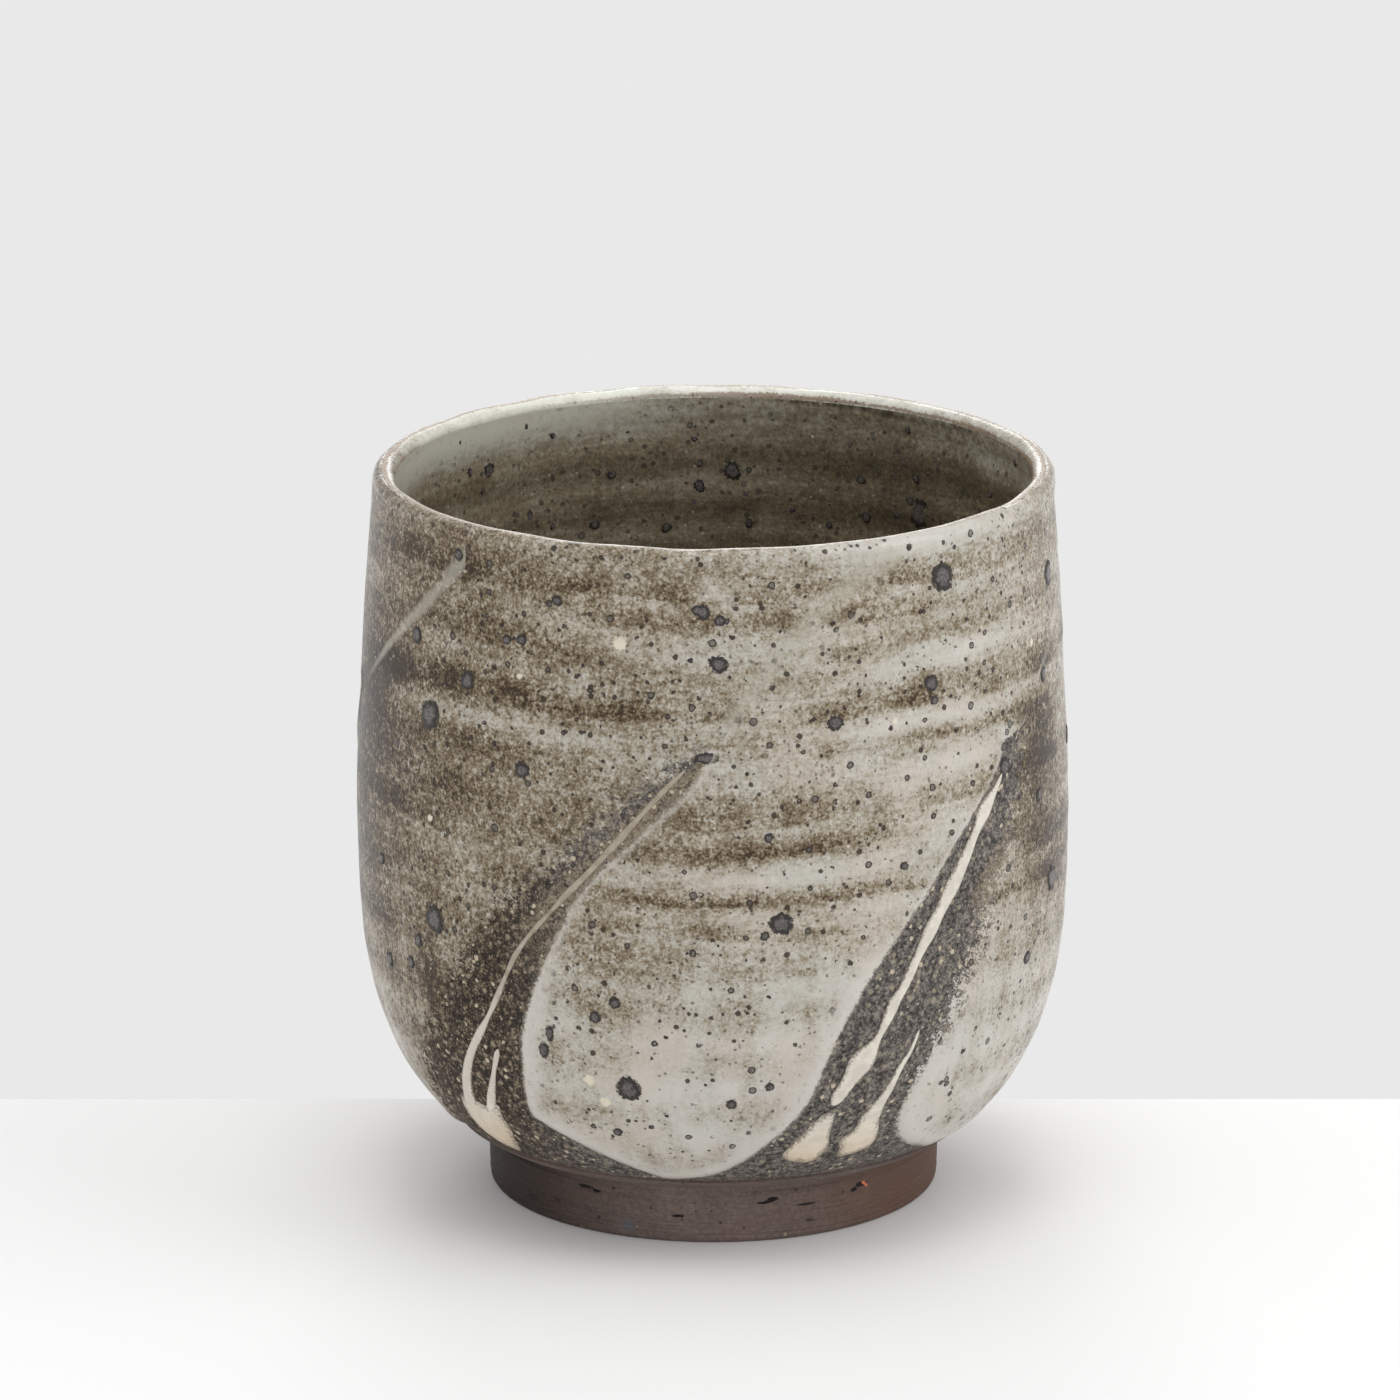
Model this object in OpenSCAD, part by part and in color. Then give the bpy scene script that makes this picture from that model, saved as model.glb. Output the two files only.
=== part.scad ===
// Tea cup without a handle: a thrown stoneware cup on a turned foot ring,
// with a pale glaze coat, wiped finger marks, glaze runs and iron spots.
// The frame stands on the foot ring: +Z is up the cup's own axis, and the origin is
// the centre of the ring's bottom face. The side that is seen first faces -Y.

/* [Body] */
// Full height, from the table to the top of the lip
cup_h = 88; // [76:1:110]
// Largest outside diameter, at the belly
belly_d = 85; // [78:1:100]
// Height of the widest place
belly_z = 47; // [40:1:56]
// How much further in the lip's outside lies than the belly's
rim_in = 2.25; // [0.5:0.25:6]
// Wall thickness at the belly, with both glaze coats
wall_t = 3; // [2.4:0.1:5]
// Thickness of the rounded lip, with its glaze
lip_t = 2.7; // [2:0.1:4]
// Thickness of the floor at its centre, with its glaze
floor_t = 5.5; // [4:0.1:9]

/* [Foot ring] */
// Outside diameter at the top of the foot ring
foot_d = 54; // [46:1:64]
// Height of the foot ring
foot_h = 7; // [5:0.5:11]
// Width of the ring that the cup stands on
foot_ring_w = 4.5; // [3:0.1:8]
// How far the turned recess inside the ring stops short of the ring's height
recess_short = 1.5; // [0:0.1:2]
// How much smaller the ring's outside radius is at the table
foot_taper = 0.2; // [0:0.05:1]
// Width of the broken edges at the bottom of the ring
foot_edge = 0.5; // [0.2:0.1:1.2]

/* [Glaze] */
// Thickness of the glaze coats
glaze_t = 0.4; // [0.2:0.05:0.8]
// Height of the bare clay between the foot ring and the glaze
bare_h = 2.4; // [1:0.1:5]
// How far a glaze run stands proud of the glaze coat
run_rise = 0.2; // [0.1:0.05:0.6]
// How far a pool at the end of a run stands proud of the glaze coat
pool_rise = 0.6; // [0.3:0.05:1.2]
// How far an iron spot stands proud of the glaze
spot_rise = 0.12; // [0.05:0.01:0.3]

/* [Finger marks] */
// Number of wiped marks round the cup
wipe_count = 5; // [3:1:5]
// Angle of the first mark's foot from the front, in degrees
first_wipe_a = -45; // [-60:1:-30]

/* [Hidden] */

// Radii and heights worked out from the sizes above
belly_r = belly_d / 2;
rim_r = belly_r - rim_in;
lip_r = lip_t / 2;
foot_r = foot_d / 2;
foot_in_r = foot_r - foot_ring_w;
recess_h = foot_h - recess_short;
lip_z = cup_h - lip_r;
floor_z = recess_h + floor_t;
inner_belly_r = belly_r - wall_t;
inner_rim_r = rim_r - lip_t;
glaze_line_z = foot_h + bare_h;
overrun = 1;

// The wall swells quickly out of the foot, then draws in a little up to the lip
swell_power = 3.2;
swell_root = 1.45;
draw_in_power = 1.4;
bowl_power = 3.2;
bowl_root = 3;

// How many straight steps each stretch of a profile has
bare_steps = 3;
lower_steps = 10;
upper_steps = 7;
floor_steps = 5;
bowl_steps = 9;
step_power = 1.5;

// Facets round the cup and round a small part
round_fn = 120;
spot_fn = 32;

// Outside of the clay: the radius at a height between the foot and the lip
function swell_at(z) = pow(1 - pow(1 - (z - foot_h) / (belly_z - foot_h), swell_power), 1 / swell_root);
function draw_at(z) = pow((z - belly_z) / (lip_z - belly_z), draw_in_power);
function lower_r(z) = foot_r + (belly_r - glaze_t - foot_r) * swell_at(z);
function upper_r(z) = belly_r - glaze_t - rim_in * draw_at(z);
function clay_r(z) = z < belly_z ? lower_r(z) : upper_r(z);

// Inside of the bowl: the height at a radius, for the glaze face and for the clay behind it
function bowl_z(r, bowl_r, bottom_z) =
    bottom_z + (belly_z - bottom_z) * (1 - pow(1 - pow(r / bowl_r, bowl_root), 1 / bowl_power));
function inner_r(z, extra) = inner_belly_r + extra - (inner_belly_r - inner_rim_r) * draw_at(z);

// Heights of the profile's points, from the foot up to the lip
bare_zs = [for (i = [0:bare_steps]) foot_h + bare_h * pow(i / bare_steps, 2)];
lower_zs = [for (i = [1:lower_steps]) glaze_line_z + (belly_z - glaze_line_z) * pow(i / lower_steps, step_power)];
upper_zs = [for (i = [1:upper_steps]) belly_z + (lip_z - belly_z) * i / upper_steps];
outside_zs = concat(bare_zs, lower_zs, upper_zs);

// Points up the outside at a distance from the clay, and down the inside at a distance behind the glaze
function outside_points(proud) = [for (z = outside_zs) [clay_r(z) + proud, z]];
function floor_rs() = [for (i = [0:floor_steps]) foot_in_r * i / floor_steps];
function bowl_rs(bowl_r) = [for (i = [1:bowl_steps])
    foot_in_r + (bowl_r - foot_in_r) * (1 - pow(1 - i / bowl_steps, 2))];
function floor_points(behind) = [for (r = floor_rs())
    [r, bowl_z(r, inner_belly_r + behind, floor_z - behind)]];
function bowl_points(behind) = [for (r = bowl_rs(inner_belly_r + behind))
    [r, bowl_z(r, inner_belly_r + behind, floor_z - behind)]];
function wall_points(behind) = [for (z = upper_zs) [inner_r(z, behind), z]];
function inside_points(behind) = concat(floor_points(behind), bowl_points(behind), wall_points(behind));
function backwards(points) = [for (i = [len(points) - 1:-1:0]) points[i]];

// Finger marks: each point is [degrees from the mark's foot, share of the glazed height].
// The outlines run up the left edge and down the right one.
broad_wipe_shares = [[-20, -0.05], [-17, 0.11], [-13, 0.17], [-3, 0.3], [8, 0.43], [23, 0.56], [38, 0.69],
    [45, 0.72], [42, 0.66], [31, 0.56], [20.5, 0.43], [14, 0.3], [11.5, 0.17], [12, 0.1], [19, 0.055],
    [26, 0.03], [33, -0.05]];
twin_wipe_shares = [[-26, -0.05], [-20, 0.04], [-14, 0.11], [-8, 0.24], [-1, 0.36], [9, 0.47], [19, 0.58],
    [26, 0.66], [31, 0.62], [28, 0.5], [20, 0.37], [14, 0.24], [10, 0.12], [11, 0.07], [15, 0.035],
    [22, -0.05]];

// Runs: the same two values, then half the run's width as a share of the glaze run width
run_w = 1.1;
broad_run_shares = [[19, 0.46, 0.3], [12, 0.38, 0.35], [8, 0.31, 0.4], [3.5, 0.23, 0.55], [-2, 0.15, 0.85],
    [-6, 0.09, 1.5]];
side_run_shares = [[7, 0.23, 0.3], [4, 0.17, 0.5], [1.5, 0.12, 0.8], [-1, 0.085, 1.4]];
broad_pool_shares = [[-12, 0.05], [-9, 0.08], [-6.5, 0.105], [-3, 0.095], [1.5, 0.11], [2.6, 0.06],
    [2, 0.03], [-1.2, 0], [-6, -0.006], [-9.5, 0.018]];
twin_run_shares = [[26, 0.62, 0.3], [20.7, 0.56, 0.7], [15.3, 0.48, 0.95], [10.6, 0.42, 0.85],
    [7.2, 0.37, 0.4], [4.5, 0.32, 0.5], [1.8, 0.265, 0.85], [-1.6, 0.21, 1], [-4.8, 0.155, 0.95],
    [-5.9, 0.13, 0.35], [-6.6, 0.11, 0.9]];
twin_pool_shares = [[-6, 0.12], [-9.5, 0.1], [-13.6, 0.055], [-12, 0.038], [-8, 0.03], [-5.6, 0.05],
    [-5.2, 0.085]];
late_run_shares = [[8, 0.22, 0.3], [5.8, 0.17, 0.5], [4, 0.12, 0.85]];
late_pool_shares = [[5.2, 0.125], [3.2, 0.105], [0, 0.075], [-2, 0.055], [-0.5, 0.036], [2.5, 0.033],
    [4.8, 0.052], [4.6, 0.085]];

// Direction that a mark is cut from, in degrees from its foot
broad_look_a = 12;
twin_look_a = 3;
wipe_pitch_a = 360 / wipe_count;

// Iron spots: [degrees from the front, share of the glazed height, share of the largest spot]
spot_r = 1.7;
front_spot_shares = [[40.3, 0.945, 0.9], [-52.3, 0.71, 1], [-50.3, 0.4, 0.95], [10.5, 0.445, 0.8],
    [-14.2, 0.18, 0.9], [0.7, 0.845, 0.6], [-1.9, 0.925, 0.45], [19.5, 0.75, 0.5], [37, 0.785, 0.5],
    [-43.5, 0.78, 0.6], [-32, 0.66, 0.5], [73.6, 0.88, 0.75], [69.7, 0.41, 0.8], [-57, 0.825, 0.5],
    [-65.8, 0.29, 0.55], [-19.2, 0.29, 0.4], [68.2, 0.735, 0.5], [-26.4, 0.925, 0.35]];
back_spot_shares = [[104, 0.9, 0.7], [128, 0.62, 0.9], [149, 0.8, 0.5], [152, 0.33, 0.8], [176, 0.7, 1],
    [189, 0.92, 0.5], [207, 0.53, 0.7], [221, 0.27, 0.9], [236, 0.8, 0.6], [251, 0.47, 0.85],
    [266, 0.9, 0.6], [85, 0.6, 0.6]];
inside_spot_shares = [[-168, 0.9, 0.9], [178, 0.9, 0.9], [-174, 0.83, 0.6], [152, 0.78, 1], [120, 0.6, 0.7],
    [-140, 0.78, 0.6], [-95, 0.66, 0.8], [60, 0.7, 0.8], [-20, 0.55, 0.9], [15, 0.75, 0.6]];

function share_z(share) = glaze_line_z + (lip_z - glaze_line_z) * share;
function side_x(a, share) = (clay_r(max(foot_h, min(lip_z, share_z(share)))) + glaze_t) * sin(a);
function outline(shares, look_a) = [for (p = shares) [side_x(p[0] - look_a, p[1]), share_z(p[1])]];
function run_side(shares, look_a, side) = [for (p = shares)
    [side_x(p[0] - look_a, p[1]) + side * p[2] * run_w, share_z(p[1])]];

// A prism that stands out of the cup's axis towards -Y, turned to an angle round the cup
module radial_prism(points, look_a) {
    rotate([0, 0, look_a]) rotate([90, 0, 0]) linear_extrude(height = belly_r + overrun) polygon(points);
}

// A coat on the outside of the clay, from the foot ring to the lip
module outside_coat(proud) {
    rotate_extrude($fn = round_fn)
        polygon(concat(outside_points(0), backwards(outside_points(proud))));
}

module wipe_cutters() {
    for (i = [0:wipe_count - 1]) {
        foot_a = first_wipe_a + i * wipe_pitch_a;
        if (i % 2 == 0) radial_prism(outline(broad_wipe_shares, broad_look_a), foot_a + broad_look_a);
        else radial_prism(outline(twin_wipe_shares, twin_look_a), foot_a + twin_look_a);
    }
}

// One run of glaze: a ridge with straight sides along its path
module run_prism(shares, look_a, foot_a) {
    radial_prism(concat(run_side(shares, look_a, -1), backwards(run_side(shares, look_a, 1))), foot_a + look_a);
}

module broad_runs(foot_a) {
    intersection() {
        outside_coat(glaze_t + run_rise);
        union() {
            run_prism(broad_run_shares, broad_look_a, foot_a);
            run_prism(side_run_shares, broad_look_a, foot_a);
        }
    }
    intersection() {
        outside_coat(glaze_t + pool_rise);
        radial_prism(outline(broad_pool_shares, broad_look_a), foot_a + broad_look_a);
    }
}

module twin_runs(foot_a) {
    intersection() {
        outside_coat(glaze_t + run_rise);
        union() {
            run_prism(twin_run_shares, twin_look_a, foot_a);
            run_prism(late_run_shares, twin_look_a, foot_a);
        }
    }
    intersection() {
        outside_coat(glaze_t + pool_rise);
        union() {
            radial_prism(outline(twin_pool_shares, twin_look_a), foot_a + twin_look_a);
            radial_prism(outline(late_pool_shares, twin_look_a), foot_a + twin_look_a);
        }
    }
}

// A round peg that stands out of the cup's axis at a height
module spot_peg(a, z, r) {
    rotate([0, 0, a]) translate([0, 0, z]) rotate([90, 0, 0]) cylinder(h = belly_r + overrun, r = r, $fn = spot_fn);
}

module foot_ring() {
    color("#5b4a45") rotate_extrude($fn = round_fn) polygon([
        [foot_in_r, foot_edge],
        [foot_in_r + foot_edge, 0],
        [foot_r - foot_taper - foot_edge, 0],
        [foot_r - foot_taper, foot_edge],
        [foot_r, foot_h],
        [foot_in_r, foot_h]]);
}

module cup_floor() {
    color("#5e504a") rotate_extrude($fn = round_fn)
        polygon(concat(floor_points(glaze_t), [[foot_in_r, recess_h], [0, recess_h]]));
}

module thrown_wall() {
    wall_foot = [foot_in_r, foot_h];
    wall_inside = backwards(concat([floor_points(glaze_t)[floor_steps]], bowl_points(glaze_t), wall_points(glaze_t)));
    color("#4f4a48") rotate_extrude($fn = round_fn) union() {
        polygon(concat([wall_foot], outside_points(0), wall_inside));
        translate([rim_r - lip_r, lip_z]) circle(r = lip_r - glaze_t, $fn = spot_fn);
    }
}

module inside_glaze() {
    color("#8b867c") rotate_extrude($fn = round_fn)
        polygon(concat(inside_points(0), backwards(inside_points(glaze_t))));
}

module outside_glaze() {
    color("#aaa69d") difference() {
        outside_coat(glaze_t);
        cylinder(h = glaze_line_z, r = belly_r + overrun, $fn = round_fn);
        wipe_cutters();
    }
}

module rim_glaze() {
    color("#9c8d79") rotate_extrude($fn = round_fn) translate([rim_r - lip_r, lip_z]) difference() {
        circle(r = lip_r, $fn = spot_fn);
        circle(r = lip_r - glaze_t, $fn = spot_fn);
        translate([-lip_t, -lip_t]) square([lip_t * 2, lip_t]);
    }
}

module left_glaze_run() {
    color("#cfc3ae") broad_runs(first_wipe_a);
}

module right_glaze_runs() {
    color("#cdc8bb") twin_runs(first_wipe_a + wipe_pitch_a);
}

module back_glaze_runs() {
    color("#cdc4b3") for (i = [2:wipe_count - 1]) {
        foot_a = first_wipe_a + i * wipe_pitch_a;
        if (i % 2 == 0) broad_runs(foot_a);
        else twin_runs(foot_a);
    }
}

module iron_spots_outside() {
    color("#3a3c42") intersection() {
        difference() {
            outside_coat(glaze_t + spot_rise);
            outside_coat(glaze_t);
        }
        for (p = concat(front_spot_shares, back_spot_shares)) spot_peg(p[0], share_z(p[1]), p[2] * spot_r);
    }
}

module iron_spots_inside() {
    color("#2f2c2a") intersection() {
        rotate_extrude($fn = round_fn)
            polygon(concat(wall_points(0), backwards(wall_points(-spot_rise))));
        for (p = inside_spot_shares) spot_peg(p[0], share_z(p[1]), p[2] * spot_r);
    }
}

foot_ring();
cup_floor();
thrown_wall();
inside_glaze();
outside_glaze();
rim_glaze();
left_glaze_run();
right_glaze_runs();
back_glaze_runs();
iron_spots_outside();
iron_spots_inside();
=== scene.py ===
import math

import bmesh
import bpy
import numpy as np
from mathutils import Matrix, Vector


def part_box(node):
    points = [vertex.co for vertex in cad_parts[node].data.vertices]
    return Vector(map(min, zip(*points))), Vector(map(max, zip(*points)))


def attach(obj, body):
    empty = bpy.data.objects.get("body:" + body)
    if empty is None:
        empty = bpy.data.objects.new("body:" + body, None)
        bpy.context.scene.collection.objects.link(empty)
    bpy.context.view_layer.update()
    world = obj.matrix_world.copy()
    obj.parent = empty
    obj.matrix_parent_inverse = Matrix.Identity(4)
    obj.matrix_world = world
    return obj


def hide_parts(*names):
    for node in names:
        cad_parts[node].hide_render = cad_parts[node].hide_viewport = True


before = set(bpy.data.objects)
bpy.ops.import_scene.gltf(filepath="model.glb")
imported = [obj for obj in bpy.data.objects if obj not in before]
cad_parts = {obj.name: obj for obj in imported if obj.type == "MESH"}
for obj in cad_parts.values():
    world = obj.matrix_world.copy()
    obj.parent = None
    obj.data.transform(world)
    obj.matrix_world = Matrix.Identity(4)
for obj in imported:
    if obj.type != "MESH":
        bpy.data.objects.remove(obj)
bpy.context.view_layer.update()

# The view: a long lens a little over a metre away, straight in front of the cup and looking
# down on it by sixteen degrees, so that the lip shows as a narrow ellipse.
look_down = math.radians(15.87)
camera_distance = 1.0752
aim = Vector((-0.00163, 0.0, 0.05886))
photo_width = 1400
focal_pixels = 9053
camera_data = bpy.data.cameras.new("camera")
camera_data.sensor_width = 36.0
camera_data.lens = focal_pixels / photo_width * camera_data.sensor_width
camera = bpy.data.objects.new("camera", camera_data)
camera.location = aim + camera_distance * Vector((0, -math.cos(look_down), math.sin(look_down)))
camera.rotation_euler = (math.pi / 2 - look_down, 0, 0)
bpy.context.scene.collection.objects.link(camera)
bpy.context.scene.camera = camera
bpy.context.scene.view_settings.view_transform = "Standard"


def paint(red, green, blue):
    """A colour given as it shows on a screen, from 0 to 255, as the shaders want it."""
    shown = [value / 255 for value in (red, green, blue)]
    return tuple(v / 12.92 if v <= 0.04045 else ((v + 0.055) / 1.055) ** 2.4 for v in shown) + (1.0,)


class Number:
    """A node's output. Sums on it, with numbers or with others like it, add Math nodes."""

    def __init__(self, finish, socket):
        self.finish = finish
        self.socket = socket

    def done(self, operation, *values):
        node = self.finish.node("ShaderNodeMath", {"operation": operation}, dict(enumerate(values)))
        return Number(self.finish, node.outputs[0])

    def __add__(self, other):
        return self.done("ADD", self, other)

    def __sub__(self, other):
        return self.done("SUBTRACT", self, other)

    def __rsub__(self, other):
        return self.done("SUBTRACT", other, self)

    def __mul__(self, other):
        return self.done("MULTIPLY", self, other)

    def __truediv__(self, other):
        return self.done("DIVIDE", self, other)

    def __lt__(self, other):
        return self.done("LESS_THAN", self, other)

    def __gt__(self, other):
        return self.done("GREATER_THAN", self, other)

    __radd__ = __add__
    __rmul__ = __mul__

    def most(self, other):
        return self.done("MAXIMUM", self, other)

    def unsigned(self):
        return self.done("ABSOLUTE", self)

    def between(self, low, high):
        """0 below low and 1 above high, with a smooth step between them."""
        node = self.finish.node(
            "ShaderNodeMapRange", {"interpolation_type": "SMOOTHSTEP"}, {0: self, 1: low, 2: high}
        )
        return Number(self.finish, node.outputs[0])


class Finish:
    """A material as it is put together: node() adds to it, and surface() ends it."""

    def __init__(self, name):
        self.material = bpy.data.materials.new(name)
        self.material.use_nodes = True
        self.tree = self.material.node_tree
        self.tree.nodes.clear()

    def node(self, kind, settings=None, sockets=None):
        node = self.tree.nodes.new(kind)
        for name, value in (settings or {}).items():
            setattr(node, name, value)
        for name, value in (sockets or {}).items():
            value = value.socket if isinstance(value, Number) else value
            if isinstance(value, bpy.types.NodeSocket):
                self.tree.links.new(value, node.inputs[name])
            else:
                node.inputs[name].default_value = value
        return node

    def millimetres(self, stretch=(1, 1, 1)):
        """Where a point is on the cup, in millimetres, with its axes stretched."""
        place = self.node("ShaderNodeTexCoord").outputs["Object"]
        return self.vector("MULTIPLY", place, tuple(1000 * factor for factor in stretch))

    def vector(self, operation, first, second):
        return self.node("ShaderNodeVectorMath", {"operation": operation}, {0: first, 1: second}).outputs[0]

    def noise(self, where, grain, detail, roughness=0.55):
        """Soft noise from 0 to 1, whose lumps are about grain millimetres wide."""
        node = self.node(
            "ShaderNodeTexNoise", None,
            {"Vector": where, "Scale": 1 / grain, "Detail": detail, "Roughness": roughness},
        )
        return Number(self, node.outputs[0])

    def axis(self, where, number):
        """One coordinate of a place: 0 is across, 1 back and 2 up."""
        return Number(self, self.node("ShaderNodeSeparateXYZ", None, {0: where}).outputs[number])

    def cells(self, where, pitch):
        """Cells about pitch millimetres apart: two random numbers of each, and the way to its middle."""
        cells = self.node("ShaderNodeTexVoronoi", None, {"Vector": where, "Scale": 1 / pitch})
        chance = self.node("ShaderNodeSeparateColor", None, {0: cells.outputs["Color"]}).outputs
        return [Number(self, socket) for socket in (chance[0], chance[1], cells.outputs["Distance"])]

    def grains(self, where, pitch, widest, share, edge=0.12):
        """Round grains of mixed sizes: 1 on a grain. They lie about pitch millimetres apart, the widest
        has that radius as a share of the pitch, and only a share of the places holds one."""
        size, chance, away = self.cells(where, pitch)
        return (size * widest - away).between(0, edge) * (chance < share)

    def attribute(self, name):
        return Number(self, self.node("ShaderNodeAttribute", {"attribute_name": name}).outputs["Fac"])

    def mix(self, share, first, second):
        sockets = {"Factor": share, 6: first, 7: second}
        return self.node("ShaderNodeMix", {"data_type": "RGBA"}, sockets).outputs[2]

    def ramp(self, value, stops):
        node = self.node("ShaderNodeValToRGB", None, {0: value})
        row = node.color_ramp.elements
        while len(row) < len(stops):
            row.new(0.5)
        for element, (place, colour) in zip(row, stops):
            element.position = place
            element.color = colour
        return node.outputs[0]

    def bump(self, height, depth, strength):
        """A normal from a height that runs from 0 to 1 and stands for depth millimetres."""
        look = {"Strength": strength, "Distance": depth / 1000, "Height": height}
        return self.node("ShaderNodeBump", None, look).outputs[0]

    def ceramic(self, colour, roughness, normal, specular=0.5):
        """Ends the material as fired clay or glaze."""
        look = {
            "Base Color": colour, "Roughness": roughness, "Normal": normal, "Specular IOR Level": specular,
        }
        return self.surface(self.node("ShaderNodeBsdfPrincipled", None, look))

    def surface(self, shader):
        self.node("ShaderNodeOutputMaterial", None, {"Surface": shader.outputs[0]})
        return self.material


def made(bm, name, material):
    """Ends a bmesh as a smooth piece of that name with that material."""
    mesh = bpy.data.meshes.new(name)
    bm.to_mesh(mesh)
    bm.free()
    mesh.materials.append(material)
    mesh.shade_smooth()
    piece = bpy.data.objects.new(name, mesh)
    bpy.context.scene.collection.objects.link(piece)
    return piece


# The table: a white sheet that ends just behind the cup's foot, and a pale grey behind it.
# It keeps the cup's shadow, and lamps and reflections see white all round.
sheet_end = 0.027
table_size = 1.5
room_brightness = 0.76
cup_middle = Vector((0, 0, 0.045))
backdrop_grey = paint(233, 233, 233)
table_finish = Finish("white_table")
table_white = table_finish.node("ShaderNodeBsdfDiffuse", None, {"Color": paint(244, 244, 244)})
behind = table_finish.node("ShaderNodeEmission", None, {"Color": backdrop_grey, "Strength": 1.0})
table_place = table_finish.node("ShaderNodeTexCoord").outputs["Object"]
past_end = table_finish.axis(table_place, 1) > sheet_end
seen = Number(table_finish, table_finish.node("ShaderNodeLightPath").outputs["Is Camera Ray"])
table_shader = table_finish.node(
    "ShaderNodeMixShader", None, {0: past_end * seen, 1: table_white.outputs[0], 2: behind.outputs[0]}
)
bm = bmesh.new()
bmesh.ops.create_grid(bm, x_segments=1, y_segments=1, size=table_size)
table = made(bm, "table", table_finish.surface(table_shader))

world = bpy.data.worlds.new("room")
bpy.context.scene.world = world
world.use_nodes = True
world_nodes = world.node_tree.nodes
world_links = world.node_tree.links
room_light = world_nodes["Background"]
room_light.inputs[0].default_value = (1.0, 1.0, 1.0, 1.0)
room_light.inputs[1].default_value = room_brightness
room_seen = world_nodes.new("ShaderNodeBackground")
room_seen.inputs[0].default_value = backdrop_grey
rays = world_nodes.new("ShaderNodeLightPath")
room_mix = world_nodes.new("ShaderNodeMixShader")
world_links.new(rays.outputs["Is Camera Ray"], room_mix.inputs[0])
world_links.new(room_light.outputs[0], room_mix.inputs[1])
world_links.new(room_seen.outputs[0], room_mix.inputs[2])
world_links.new(room_mix.outputs[0], world_nodes["World Output"].inputs[0])


def softbox(name, place, wide, high, power):
    """An area lamp that looks at the middle of the cup."""
    lamp = bpy.data.lights.new(name, "AREA")
    lamp.shape = "RECTANGLE"
    lamp.size = wide
    lamp.size_y = high
    lamp.energy = power
    holder = bpy.data.objects.new(name, lamp)
    holder.location = place
    holder.rotation_euler = (cup_middle - Vector(place)).to_track_quat("-Z", "Y").to_euler()
    bpy.context.scene.collection.objects.link(holder)


softbox("window_right", (0.95, -0.25, 0.75), 0.8, 0.8, 3.1)
softbox("window_behind", (-0.1, 1.0, 0.85), 0.42, 0.42, 1.7)
softbox("low_window_behind", (0.0, 1.4, 0.42), 0.6, 0.5, 2.4)
softbox("ceiling", (0.0, -0.05, 1.4), 0.55, 1.0, 4.0)

# The cup's own shape: a wall that swells quickly out of the foot, is widest just above its
# middle and draws in a little up to a rounded lip. All sizes are in metres.
foot_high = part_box("foot_ring")[1]
foot_r = foot_high.y
foot_h = foot_high.z
glaze_low, glaze_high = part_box("outside_glaze")
belly_r = glaze_high.y
glaze_line_z = glaze_low.z
rim_low, rim_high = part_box("rim_glaze")
rim_r = rim_high.y
lip_z = rim_low.z
cup_h = rim_high.z
lip_r = cup_h - lip_z
floor_low, floor_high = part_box("cup_floor")
recess_z = floor_low.z
foot_in_r = floor_high.y
bowl_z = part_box("inside_glaze")[0].z
belly_z = 0.047
glaze_t = 0.0004
wall_t = 0.003
# How far the lip's height falls from its right side to its left, and how much it waves
rim_slope = 0.00025
rim_wave = 0.00006
# The curves of the swelling wall, of its drawing in to the lip, and of the bowl
swell_power, swell_root = 3.2, 1.45
draw_in_power = 1.4
bowl_power, bowl_root = 3.2, 3


def outside_r(z):
    """The glaze's radius at a height, on the cup's outside."""
    low = np.clip((z - foot_h) / (belly_z - foot_h), 0, 1)
    high = np.clip((z - belly_z) / (lip_z - belly_z), 0, 1)
    swell = (1 - (1 - low) ** swell_power) ** (1 / swell_root)
    drawn_in = (belly_r - rim_r) * high**draw_in_power
    return foot_r + glaze_t + (belly_r - glaze_t - foot_r) * swell - drawn_in


def outside_slope(z):
    """How much the radius grows with the height there."""
    step = 1e-5
    return (outside_r(z + step) - outside_r(z - step)) / (2 * step)


# Distance up the wall from the foot, along its outline, and the height at such a distance
wall_zs = foot_h + (lip_z - foot_h) * np.linspace(0, 1, 2000) ** 2
wall_ups = np.concatenate([[0], np.cumsum(np.hypot(np.diff(wall_zs), np.diff(outside_r(wall_zs))))])


def up_of(z):
    return np.interp(z, wall_zs, wall_ups)


def z_of(up):
    return np.interp(up, wall_ups, wall_zs)


def unevenness(angle, z):
    """How far a thrown cup's lip hangs lower than a true one: a little, and most on the left."""
    reach = np.clip(z / cup_h, 0, 1) ** 4
    tilt = (1 - np.sin(angle)) / 2
    wave = (1 + np.sin(3 * angle + 0.7)) / 2
    return -reach * (rim_slope * tilt + rim_wave * wave)


def sag(angle, z):
    """That unevenness, as a move for points at those angles and heights."""
    return np.stack([0 * z, 0 * z, unevenness(angle, z)], -1)


def on_cup(angle, z, out):
    """A point on the outside at an angle from the front, in radians, and so far out of the glaze."""
    slope = outside_slope(z)
    length = np.sqrt(1 + slope**2)
    r = outside_r(z) + out / length
    height = z - out * slope / length + unevenness(angle, z)
    return np.stack([r * np.sin(angle), -r * np.cos(angle), height], -1)


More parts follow.
